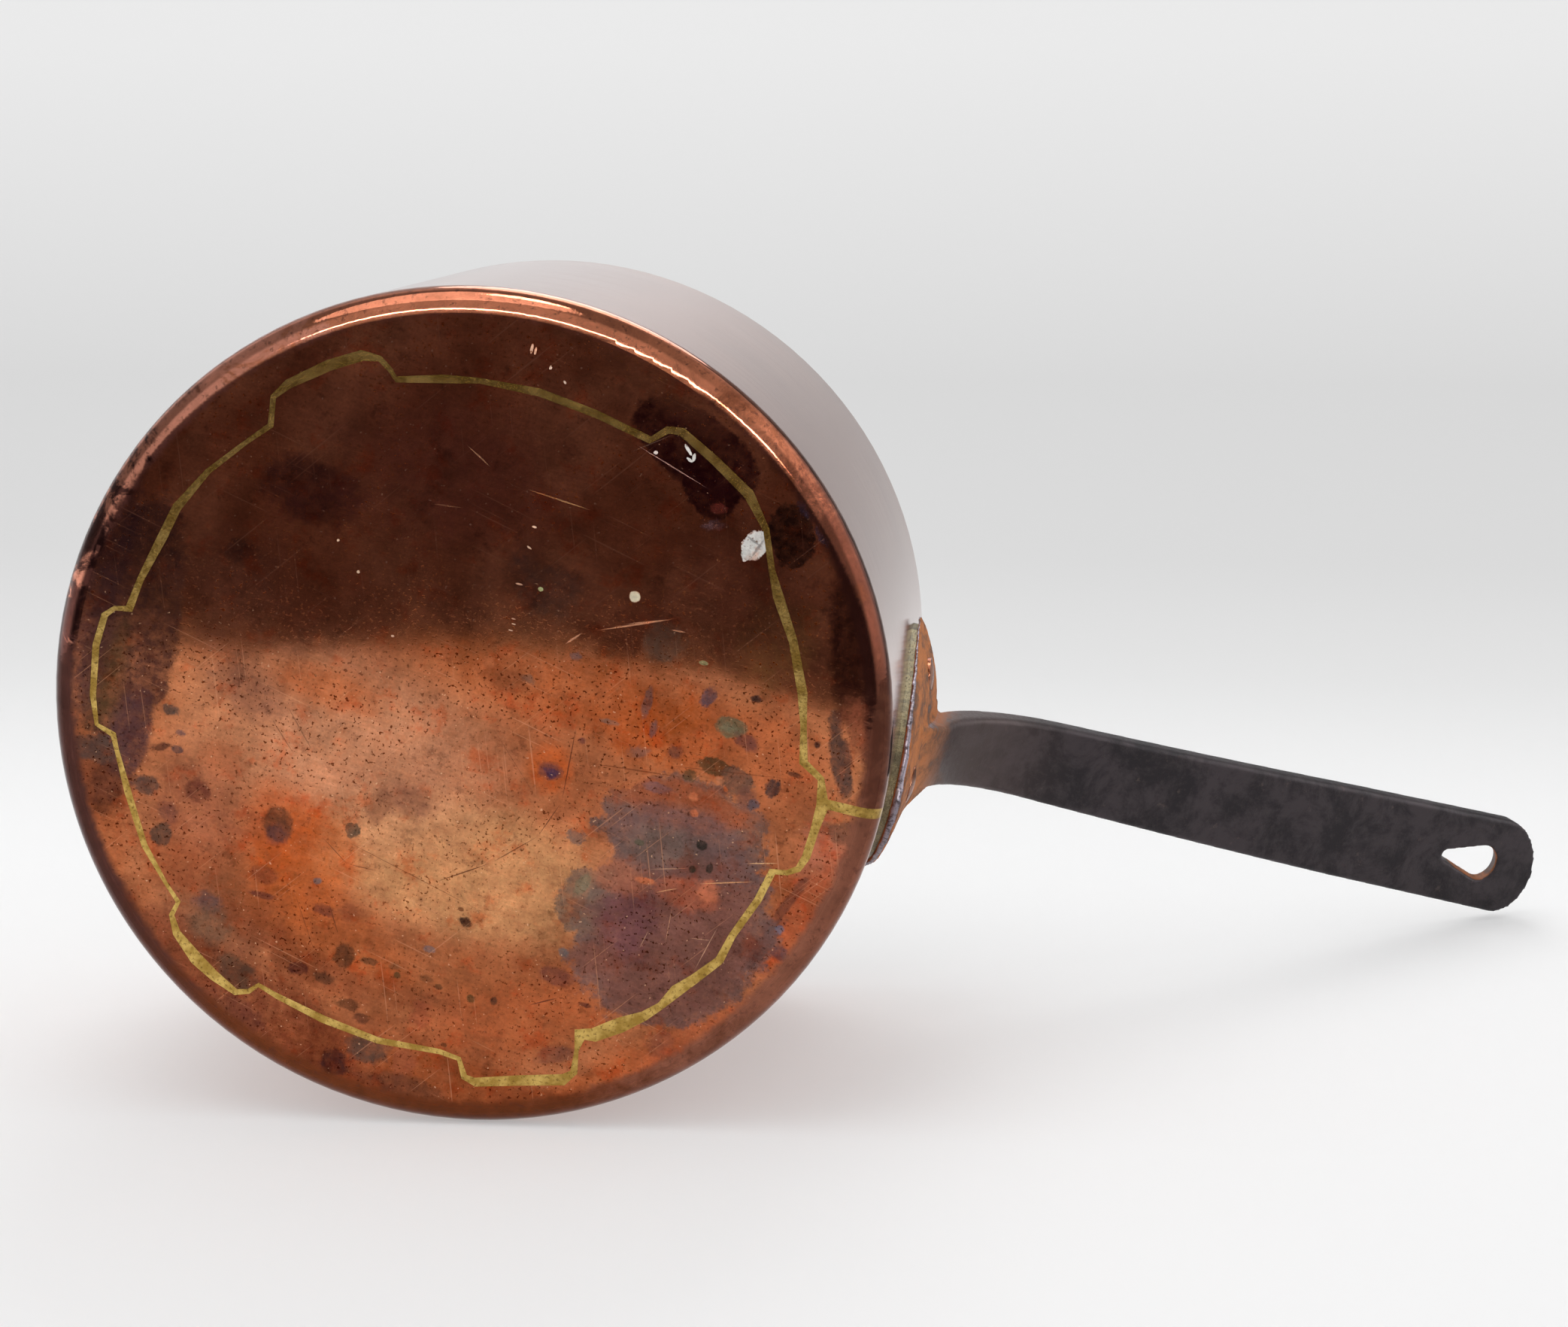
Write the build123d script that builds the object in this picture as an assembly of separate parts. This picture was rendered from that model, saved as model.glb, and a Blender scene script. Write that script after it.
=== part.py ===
from build123d import *
import math
import os

# A hand-made copper saucepan: sheet copper with brazed cramped seams, tinned inside, and a riveted
# wrought iron handle. Sizes are millimetres. The origin is the centre of the base's outer face,
# +Z runs up to the rim, and the palm of the handle is centred on +X.

# Pan body
PAN_RADIUS = 100.0
PAN_HEIGHT = 133.0
COPPER_GAUGE = 2.0
CORNER_RADIUS = 6.0
RIM_ROUNDING = 0.7
TIN_THICKNESS = 0.3

# Cramped seam that joins the base disc to the wall sheet. Its tabs are hand cut and its brass is
# thicker in some places than in others: once round from the handle, the middle of the brass at
# each turn of the cut, across X and Y, and how wide the brass is there. Drawn for a radius of 100.
SEAM_DRAWN_RADIUS = 100.0
SEAM_COURSE = [
    (86.3, -1.0, 3.0),
    (85.9, 5.0, 2.0),
    (85.5, 12.0, 2.0),
    (84.4, 15.2, 1.6),
    (82.0, 16.8, 1.3),
    (78.7, 17.4, 1.8),
    (77.0, 25.0, 1.8),
    (73.2, 35.0, 1.7),
    (71.7, 41.5, 2.1),
    (67.0, 47.5, 2.4),
    (63.5, 51.5, 3.0),
    (60.8, 56.0, 1.8),
    (57.5, 59.5, 2.4),
    (52.5, 63.2, 3.8),
    (47.0, 67.2, 3.4),
    (43.7, 68.0, 3.4),
    (43.9, 72.0, 1.0),
    (44.5, 77.4, 1.8),
    (42.5, 79.9, 2.8),
    (33.0, 82.7, 2.6),
    (22.0, 86.2, 2.2),
    (19.2, 85.6, 1.6),
    (17.0, 81.6, 1.2),
    (12.0, 81.1, 1.3),
    (-3.0, 82.4, 1.6),
    (-17.0, 80.8, 1.9),
    (-29.0, 78.2, 1.4),
    (-34.0, 76.7, 1.1),
    (-36.0, 78.9, 1.2),
    (-39.0, 79.9, 1.6),
    (-45.0, 77.3, 2.6),
    (-50.0, 74.4, 3.2),
    (-56.0, 69.4, 2.0),
    (-58.1, 65.4, 1.3),
    (-57.2, 61.8, 1.2),
    (-61.0, 58.2, 0.9),
    (-68.0, 50.4, 1.5),
    (-74.5, 38.8, 1.7),
    (-79.2, 29.5, 1.1),
    (-80.8, 26.0, 1.5),
    (-85.2, 24.6, 1.0),
    (-87.5, 18.0, 1.5),
    (-89.2, 6.0, 1.7),
    (-88.6, -1.6, 1.6),
    (-86.6, -3.8, 1.1),
    (-83.2, -4.5, 2.0),
    (-82.0, -12.0, 1.6),
    (-79.0, -23.0, 2.3),
    (-77.0, -31.0, 2.2),
    (-71.6, -41.0, 1.4),
    (-64.0, -50.2, 1.1),
    (-59.4, -55.2, 1.5),
    (-60.2, -61.8, 1.4),
    (-57.4, -65.6, 2.2),
    (-49.0, -72.2, 2.6),
    (-42.0, -76.3, 2.5),
    (-37.8, -76.6, 1.4),
    (-35.0, -74.8, 1.2),
    (-33.0, -72.9, 1.4),
    (-22.0, -75.8, 2.0),
    (-14.0, -77.4, 1.3),
    (0.0, -78.2, 1.9),
    (14.0, -76.6, 1.8),
    (27.4, -73.9, 1.7),
    (30.8, -77.2, 1.7),
    (34.0, -77.6, 2.0),
    (43.0, -73.0, 2.2),
    (52.4, -67.4, 2.5),
    (58.2, -60.4, 1.5),
    (61.6, -51.8, 1.5),
    (64.6, -46.0, 2.5),
    (70.4, -36.8, 2.0),
    (75.4, -25.5, 2.3),
    (77.5, -18.0, 1.5),
    (79.5, -9.8, 2.1),
    (84.4, -7.0, 1.6),
]

# Side seam of the wall sheet, cramped like the base
SIDE_SEAM_ANGLE = -1.0
SIDE_SEAM_WIDTH = 2.4
SIDE_CRAMP_START = 16.0
SIDE_CRAMP_LENGTH = 14.0
SIDE_CRAMP_DEPTH = 8.0

# Brass packing plate between the palm and the wall
PACKING_THICKNESS = 1.5
PACKING_INSET = 1.2
PACKING_END_INSET = 3.5

# Palm of the handle: the heart-shaped plate that is riveted to the wall
PALM_POINT_HEIGHT = 17.0
PALM_BELLY_HALF_WIDTH = 18.0
PALM_BELLY_HEIGHT = 38.0
PALM_FLANK_HALF_WIDTH = 30.0
PALM_FLANK_HEIGHT = 75.0
PALM_EAR_HALF_WIDTH = 35.0
PALM_EAR_HEIGHT = 99.0
PALM_SHOULDER_HALF_WIDTH = 11.5
PALM_SHOULDER_HEIGHT = 106.0
PALM_TOP_HEIGHT = 110.0
PALM_POINT_ROUNDING = 11.0
PALM_FLANK_ROUNDING = 45.0
PALM_EAR_ROUNDING = 5.5
PALM_CROWN_RADIUS = 62.0
PALM_CROWN_AT_TOP = 5.6
PALM_CROWN_AT_POINT = 2.0

# Neck and bar of the handle
NECK_FOOT_HEIGHT = 60.0
NECK_FOOT_DEPTH = -2.0
NECK_RISE = 79.2
BEND_START_HEIGHT = 93.5
BEND_RADIUS = 65.0
BEND_END_RISE = 27.8
BAR_SWEEP_RADIUS = 1200.0
BAR_END_RISE = 32.7
BAR_STRAIGHT_LENGTH = 75.0
NECK_FOOT_WIDTH = 26.0
NECK_WIDTH = 17.6
BEND_END_WIDTH = 22.2
SWEEP_END_WIDTH = 27.0
BAR_TIP_WIDTH = 29.2
NECK_THICKNESS = 8.0
BEND_END_THICKNESS = 7.6
SWEEP_END_THICKNESS = 6.9
BAR_TIP_THICKNESS = 6.6
BAR_EDGE_ROUNDING = 1.4
BAR_YAW = 5.2
TIP_NEAR_CORNER = 12.0
TIP_FAR_CORNER = 16.8

# Teardrop hanging hole, with its point towards the pan
HOLE_RADIUS = 5.4
HOLE_POINT_RADIUS = 1.7
HOLE_LENGTH = 21.2
HOLE_CENTRE_FROM_TIP = 18.8

# Copper rivets
RIVET_RADIUS = 3.5
RIVET_HEAD_RADIUS = 4.7
RIVET_HEAD_HEIGHT = 0.9
RIVET_INNER_HEAD_RADIUS = 8.0
RIVET_INNER_HEAD_HEIGHT = 2.6
RIVET_UPPER_ANGLE = 11.5
RIVET_UPPER_HEIGHT = 88.0
RIVET_LOWER_HEIGHT = 51.0

inner_radius = PAN_RADIUS - COPPER_GAUGE
tinned_radius = inner_radius - TIN_THICKNESS
packing_face_radius = PAN_RADIUS + PACKING_THICKNESS
inner_corner_radius = CORNER_RADIUS - COPPER_GAUGE
crown_axis_x = packing_face_radius + PALM_CROWN_AT_TOP - PALM_CROWN_RADIUS
clear = 5.0


def revolved(outline):
    """Turns an outline drawn in the XZ plane about the pan's axis."""
    return revolve(Plane.XZ * make_face(outline), Axis.Z)


def whole_cup():
    """The copper body before its seams part it: floor, rounded corner and wall."""
    section = FilletPolyline(
        (0, 0),
        (PAN_RADIUS, 0),
        (PAN_RADIUS, PAN_HEIGHT),
        (inner_radius, PAN_HEIGHT),
        (inner_radius, COPPER_GAUGE),
        (0, COPPER_GAUGE),
        radius=[CORNER_RADIUS, RIM_ROUNDING, RIM_ROUNDING, inner_corner_radius],
    )
    return revolved(section + Line(section @ 1, section @ 0))


def seam_edge(side):
    """The face inside one edge of the base seam's brass: its outer edge at side 1, its inner at -1."""
    scale = PAN_RADIUS / SEAM_DRAWN_RADIUS
    after = SEAM_COURSE[1:] + SEAM_COURSE[:1]
    before = SEAM_COURSE[-1:] + SEAM_COURSE[:-1]
    points = []
    for last, here, following in zip(before, SEAM_COURSE, after):
        heading = Vector(following[0] - last[0], following[1] - last[1]).normalized()
        middle = Vector(here[0], here[1])
        points.append((middle + heading.rotate(Axis.Z, -90) * (side * here[2] / 2)) * scale)
    return make_face(Polyline(*points, close=True))


def side_seam_band():
    """The zigzag band that parts the wall sheet, as a prism that crosses the wall."""
    half_depth = SIDE_CRAMP_DEPTH / 2
    run_end = SIDE_CRAMP_START
    band = Pos(0, (run_end - clear) / 2) * Rectangle(SIDE_SEAM_WIDTH, run_end + clear + SIDE_SEAM_WIDTH)
    side = 0.0
    next_side = -half_depth
    while run_end < PAN_HEIGHT:
        step = Rectangle(abs(next_side - side) + SIDE_SEAM_WIDTH, SIDE_SEAM_WIDTH)
        band += Pos((side + next_side) / 2, run_end) * step
        run = Rectangle(SIDE_SEAM_WIDTH, SIDE_CRAMP_LENGTH + SIDE_SEAM_WIDTH)
        band += Pos(next_side, run_end + SIDE_CRAMP_LENGTH / 2) * run
        run_end += SIDE_CRAMP_LENGTH
        side = next_side
        next_side = -side
    across = Plane(origin=(0, 0, 0), x_dir=(0, 1, 0), z_dir=(1, 0, 0))
    prism = extrude(across.offset(PAN_RADIUS / 2) * band, PAN_RADIUS)
    return Rot(0, 0, SIDE_SEAM_ANGLE) * prism


def tin_skin():
    """The tin wiped over the whole inside of the pan."""
    top = PAN_HEIGHT - RIM_ROUNDING
    floor = COPPER_GAUGE + TIN_THICKNESS
    section = FilletPolyline(
        (0, COPPER_GAUGE),
        (inner_radius, COPPER_GAUGE),
        (inner_radius, top),
        (tinned_radius, top),
        (tinned_radius, floor),
        (0, floor),
        radius=[inner_corner_radius, 0, 0, inner_corner_radius - TIN_THICKNESS],
    )
    return revolved(section + Line(section @ 1, section @ 0))


def palm_outline():
    """The heart of the palm, in the plane that faces the pan."""
    right = [
        (PALM_BELLY_HALF_WIDTH, PALM_BELLY_HEIGHT),
        (PALM_FLANK_HALF_WIDTH, PALM_FLANK_HEIGHT),
        (PALM_EAR_HALF_WIDTH, PALM_EAR_HEIGHT),
        (PALM_SHOULDER_HALF_WIDTH, PALM_SHOULDER_HEIGHT),
        (PALM_SHOULDER_HALF_WIDTH, PALM_TOP_HEIGHT),
    ]
    roundings = [PALM_FLANK_ROUNDING, PALM_FLANK_ROUNDING, PALM_EAR_ROUNDING, 0, 0]
    left = [(-across, height) for across, height in reversed(right)]
    points = [(0, PALM_POINT_HEIGHT)] + right + left
    return make_face(
        FilletPolyline(*points, radius=[PALM_POINT_ROUNDING] + roundings + roundings[::-1], close=True)
    )


def facing_prism(face):
    """Carries an outline from the palm's plane along X, through the wall and the handle."""
    plane = Plane(origin=(PAN_RADIUS / 2, 0, 0), x_dir=(0, 1, 0), z_dir=(1, 0, 0))
    return extrude(plane * face, PAN_RADIUS)


def crown_radius(height):
    """Radius of the palm's crowned outer face, about its own axis, at a height."""
    share = (PALM_TOP_HEIGHT - height) / (PALM_TOP_HEIGHT - PALM_POINT_HEIGHT)
    return PALM_CROWN_RADIUS - share * (PALM_CROWN_AT_TOP - PALM_CROWN_AT_POINT)


def crown_reach(angle, height):
    """Distance of the palm's outer face from the pan's axis, at an angle and a height."""
    turn = math.radians(angle)
    side = crown_axis_x * math.sin(turn)
    return crown_axis_x * math.cos(turn) + math.sqrt(crown_radius(height) ** 2 - side**2)


def crown_body():
    """The round body whose outside is the palm's crowned face."""
    low = PALM_POINT_HEIGHT - clear
    high = PALM_TOP_HEIGHT + clear
    section = Polyline(
        (0, low), (crown_radius(low), low), (crown_radius(high), high), (0, high), close=True
    )
    return Pos(crown_axis_x, 0, 0) * revolved(section)


def solid_round(radius):
    """A plug about the pan's axis, taller than the pan."""
    return Pos(0, 0, -clear) * Cylinder(
        radius, PAN_HEIGHT + 2 * clear, align=(Align.CENTER, Align.CENTER, Align.MIN)
    )


def palm():
    """The palm: crowned outside, hollowed inside to the packing plate."""
    return facing_prism(palm_outline()) & crown_body()


def bar_path():
    """Centre line of the neck and the bar, in the XZ plane, with its four lengths in order."""
    foot_x = packing_face_radius + NECK_FOOT_DEPTH
    foot = Vector(foot_x, 0, NECK_FOOT_HEIGHT)
    neck_heading = math.radians(NECK_RISE)
    bend_heading = math.radians(BEND_END_RISE)
    end_heading = math.radians(BAR_END_RISE)
    neck_length = (BEND_START_HEIGHT - NECK_FOOT_HEIGHT) / math.sin(neck_heading)
    bend_start = foot + Vector(math.cos(neck_heading), 0, math.sin(neck_heading)) * neck_length

    def along_bend(heading):
        centre = bend_start + Vector(math.sin(neck_heading), 0, -math.cos(neck_heading)) * BEND_RADIUS
        return centre + Vector(-math.sin(heading), 0, math.cos(heading)) * BEND_RADIUS

    bend_end = along_bend(bend_heading)

    def along_sweep(heading):
        centre = bend_end + Vector(-math.sin(bend_heading), 0, math.cos(bend_heading)) * BAR_SWEEP_RADIUS
        return centre + Vector(math.sin(heading), 0, -math.cos(heading)) * BAR_SWEEP_RADIUS

    sweep_end = along_sweep(end_heading)
    tip = sweep_end + Vector(math.cos(end_heading), 0, math.sin(end_heading)) * BAR_STRAIGHT_LENGTH
    bend_middle = along_bend((neck_heading + bend_heading) / 2)
    sweep_middle = along_sweep((bend_heading + end_heading) / 2)
    return [
        Line(foot, bend_start),
        ThreePointArc(bend_start, bend_middle, bend_end),
        ThreePointArc(bend_end, sweep_middle, sweep_end),
        Line(sweep_end, tip),
    ]


def bar_section(edge, share, width, thickness):
    """Rounded rectangle square to the centre line at a share of one of its lengths."""
    plane = Plane(origin=edge @ share, x_dir=(0, 1, 0), z_dir=edge % share)
    return plane * RectangleRounded(width, thickness, BAR_EDGE_ROUNDING)


def tip_plane(path):
    """Plane of the bar's underside at the tip, with x back towards the pan."""
    end = path[-1]
    along = end % 1
    across = Vector(0, 1, 0)
    return Plane(origin=end @ 1, x_dir=-along, z_dir=along.cross(across))


def tip_waste(path):
    """What is dressed off the end of the bar to round it."""
    reach = max(TIP_NEAR_CORNER, TIP_FAR_CORNER)
    rounded = Pos(reach, 0) * Rectangle(2 * reach, BAR_TIP_WIDTH)
    near_corner, far_corner = rounded.vertices().sort_by(Axis.X)[:2].sort_by(Axis.Y)
    rounded = fillet(near_corner, TIP_NEAR_CORNER)
    far_corner = rounded.vertices().sort_by(Axis.X)[:3].sort_by(Axis.Y)[-1]
    rounded = fillet(far_corner, TIP_FAR_CORNER)
    blank = Pos((reach - clear) / 2, 0) * Rectangle(reach + clear, BAR_TIP_WIDTH + 2 * clear)
    return extrude(tip_plane(path) * (blank - rounded), NECK_THICKNESS, both=True)


def hanging_hole(path):
    """The teardrop hole, punched through the bar along the pan's own axis."""
    centre = Pos(HOLE_CENTRE_FROM_TIP, 0) * Circle(HOLE_RADIUS)
    point_at = HOLE_CENTRE_FROM_TIP + HOLE_LENGTH - HOLE_RADIUS - HOLE_POINT_RADIUS
    point = Pos(point_at, 0) * Circle(HOLE_POINT_RADIUS)
    outline = make_hull(centre.edges() + point.edges())
    return extrude(tip_plane(path) * outline, 2 * NECK_THICKNESS, dir=(0, 0, 1), both=True)


def bar():
    """The neck and the bar: a flat iron, narrow at the neck and wide and thin at its tip."""
    path = bar_path()
    widths = [NECK_FOOT_WIDTH, NECK_WIDTH, BEND_END_WIDTH, SWEEP_END_WIDTH, BAR_TIP_WIDTH]
    gauges = [NECK_THICKNESS, NECK_THICKNESS, BEND_END_THICKNESS, SWEEP_END_THICKNESS, BAR_TIP_THICKNESS]
    iron = Part()
    for index, length in enumerate(path):
        start = bar_section(length, 0, widths[index], gauges[index])
        end = bar_section(length, 1, widths[index + 1], gauges[index + 1])
        iron += sweep([start, end], path=length, multisection=True)
    iron = iron - tip_waste(path) - hanging_hole(path)
    foot_x = (path[0] @ 0).X
    return Pos(foot_x, 0, 0) * Rot(0, 0, BAR_YAW) * Pos(-foot_x, 0, 0) * iron


def handle_blank():
    """The whole forging before its rivet holes are drilled."""
    return palm() + bar() - solid_round(packing_face_radius)


def packing_blank():
    """Brass plate that beds the palm on the round wall."""
    ring = solid_round(packing_face_radius) - solid_round(PAN_RADIUS)
    outline = offset(palm_outline(), -PACKING_INSET)
    width = 2 * (PALM_EAR_HALF_WIDTH - PACKING_END_INSET)
    outline = outline & (Pos(0, PAN_HEIGHT / 2) * Rectangle(width, PAN_HEIGHT))
    return facing_prism(outline) & ring


def rivet_places():
    """Angle and height of each rivet."""
    return [
        (0.0, RIVET_LOWER_HEIGHT),
        (RIVET_UPPER_ANGLE, RIVET_UPPER_HEIGHT),
        (-RIVET_UPPER_ANGLE, RIVET_UPPER_HEIGHT),
    ]


def rivet_plane(angle, height):
    """Plane across a rivet at the pan's axis, with z outwards along the rivet."""
    turn = math.radians(angle)
    outwards = (math.cos(turn), math.sin(turn), 0)
    return Plane(origin=(0, 0, height), x_dir=(0, 0, 1), z_dir=outwards)


def shank(angle, height, start, end):
    """A rivet's round shank between two distances from the pan's axis."""
    return extrude(rivet_plane(angle, height).offset(start) * Circle(RIVET_RADIUS), end - start)


def dome(radius, height):
    """A low round dome that stands on the XY plane."""
    ball_radius = (radius**2 + height**2) / (2 * height)
    ball = Pos(0, 0, height - ball_radius) * Sphere(ball_radius)
    return ball & Pos(0, 0, height / 2) * Box(4 * radius, 4 * radius, height)


def rivet(angle, height, blank):
    """One rivet: a wide head on the tinned inside, and a hammered head on the palm."""
    reach = crown_reach(angle, height)
    sink = RIVET_HEAD_HEIGHT
    outer_location = rivet_plane(angle, height).offset(reach).location
    stem = extrude(rivet_plane(angle, height).offset(reach - sink) * Circle(RIVET_HEAD_RADIUS), sink)
    outer_head = outer_location * dome(RIVET_HEAD_RADIUS, RIVET_HEAD_HEIGHT) + stem - blank
    inner_face = tinned_radius * math.cos(math.asin(RIVET_INNER_HEAD_RADIUS / tinned_radius))
    inner_plane = rivet_plane(angle, height).offset(inner_face)
    inner_location = Location(inner_plane) * Rot(180, 0, 0)
    collar = extrude(inner_plane * Circle(RIVET_INNER_HEAD_RADIUS), tinned_radius - inner_face)
    inner_head = inner_location * dome(RIVET_INNER_HEAD_RADIUS, RIVET_INNER_HEAD_HEIGHT) + collar
    inner_head = inner_head & solid_round(tinned_radius)
    return outer_head + shank(angle, height, inner_face - TIN_THICKNESS, reach) + inner_head


def build():
    """All the pieces of the saucepan, by node name."""
    rivet_holes = [
        shank(angle, height, inner_radius / 2, PAN_RADIUS + 4 * clear) for angle, height in rivet_places()
    ]
    base_well = Pos(0, 0, -clear) * extrude(seam_edge(1), clear + COPPER_GAUGE)
    seam_band = side_seam_band()
    wall_sheet = whole_cup() - base_well
    handle = handle_blank()
    rivets = [rivet(angle, height, handle) for angle, height in rivet_places()]
    return {
        "body_wall": wall_sheet - seam_band - rivet_holes,
        "base_disc": extrude(seam_edge(-1), COPPER_GAUGE),
        "base_seam_braze": extrude(seam_edge(1) - seam_edge(-1), COPPER_GAUGE),
        "side_seam_braze": (wall_sheet & seam_band) - rivet_holes,
        "tin_lining": tin_skin() - rivet_holes,
        "packing_plate": packing_blank() - rivet_holes,
        "handle": handle - rivet_holes,
        "rivets": Compound(rivets),
    }


os.makedirs("parts", exist_ok=True)
for node, shape in build().items():
    export_step(shape, f"parts/{node}.step")
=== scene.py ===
import math

import bmesh
import bpy
from mathutils import Matrix, Vector


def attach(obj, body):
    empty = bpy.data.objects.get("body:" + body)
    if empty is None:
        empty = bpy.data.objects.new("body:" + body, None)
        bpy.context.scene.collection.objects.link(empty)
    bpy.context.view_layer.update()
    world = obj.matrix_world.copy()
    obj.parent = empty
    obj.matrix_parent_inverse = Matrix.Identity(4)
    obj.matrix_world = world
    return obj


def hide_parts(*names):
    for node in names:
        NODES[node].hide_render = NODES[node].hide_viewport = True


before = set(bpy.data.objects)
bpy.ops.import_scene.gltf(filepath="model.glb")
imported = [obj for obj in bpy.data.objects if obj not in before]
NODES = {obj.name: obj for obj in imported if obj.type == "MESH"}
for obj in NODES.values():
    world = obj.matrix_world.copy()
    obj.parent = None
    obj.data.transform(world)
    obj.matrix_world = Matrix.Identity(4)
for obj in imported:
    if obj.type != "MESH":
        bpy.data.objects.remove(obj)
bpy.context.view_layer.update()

MM = 0.001

# ---- Camera --------------------------------------------------------------------------------------
CAMERA_PLACE = (0.106612, -0.169315, -0.715916)
CAMERA_RIGHT = (0.966666, -0.237436, 0.095820)
CAMERA_UP = (-0.250960, -0.952820, 0.170744)
CAMERA_BACK = (0.050759, -0.189099, -0.980645)
CAMERA_LENS = 72.52
SENSOR_WIDTH = 36

# ---- The table on which the pan lies, on its side --------------------------------------------------
TABLE_UP = Vector((-0.2385, -0.9711, 0.0))
TABLE_ACROSS = Vector((0.9711, -0.2385, 0.0))
# Lengths of the table in m. Its front edge is given as how far across, and z there.
TABLE_BELOW_AXIS = 0.1
TABLE_FRONT_EDGE = [(-1.2, -0.9), (-0.341, -0.755), (-0.25, -0.675), (-0.205, -0.66),
                    (-0.148, -0.69), (-0.088, -0.671), (-0.044, -0.635), (-0.003, -0.6),
                    (0.037, -0.545), (0.065, -0.512), (1.2, -0.45)]
TABLE_ROWS = (0.0, 0.3)
TABLE_FLAT_END = 0.9
SWEEP_RADIUS = 0.7
SWEEP_STEPS = 12
SWEEP_TOP = 1.9
# The paper by how far back it is, in mm: the grey it is given, and the tone that is seen, 0 to 255.
# Both are painted shade and light: darker further back, lighter again up the sweep; the tone is a
# glow.
PAPER_FROM = -200
PAPER_TO = 3000
PAPER_GREYS = [(-190, 0.9), (300, 0.88), (600, 0.82), (900, 0.76), (1500, 0.74), (2200, 0.84),
               (2900, 0.9)]
PAPER_TONES = [(-190, 240), (170, 243), (550, 227), (885, 218), (1200, 216), (1610, 235),
               (2200, 242), (2900, 245)]

# ---- The floor under the upright pan, in mm --------------------------------------------------------
# The floor is clear from below, and only its top layer is ever shown from above. A ray that has
# passed as many clear surfaces as there are layers is taken to have come up through the floor.
FLOOR_RADIUS = 3000
FLOOR_LAYERS = 3
LAYER_GAP = 0.1
FLOOR_TOP = 0.3

# ---- The studio's light by direction ---------------------------------------------------------------
STUDIO_LIGHT = (0.8, 0.8, 0.805, 1)
ROOM_LIGHT = (0.135, 0.115, 0.14, 1)
WINDOW_LIGHT = (24, 23.6, 23, 1)
STRIP_LIGHT = (10, 9.8, 9.6, 1)
FLAG_LIGHT = (0.3, 0.3, 0.305, 1)
BOX_LIGHT = (1.8, 1.8, 1.8, 1)

# ---- Borders of the finishes, in mm ----------------------------------------------------------------
# The underside passes into the rounded edge at this distance from the axis, and the edge into the
# wall at this height. Both borders are ragged.
EDGE_BEGINS = (94.2, 96.6)
WALL_BEGINS = (5.0, 9.0)
RAGGED = 3.0
RIVET_OUTSIDE = (97.0, 98.2)

# ---- Handle: the bar's wide face, the hanging hole's middle in mm, and the wear of the edges -------
BAR_FACE = (0.53, 0.05, -0.845)
HOLE_MIDDLE = (274.6, 15.9, 220.9)
WORN_VOXEL = 0.7
WORN_FACTOR = 0.5
WORN_PASSES = 4


def srgb(red, green, blue):
    """A colour given as 0 to 255 display values, as the linear values that the shaders use."""
    values = []
    for value in (red, green, blue):
        share = value / 255
        values.append(share / 12.92 if share <= 0.04045 else ((share + 0.055) / 1.055) ** 2.4)
    return (*values, 1.0)


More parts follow.
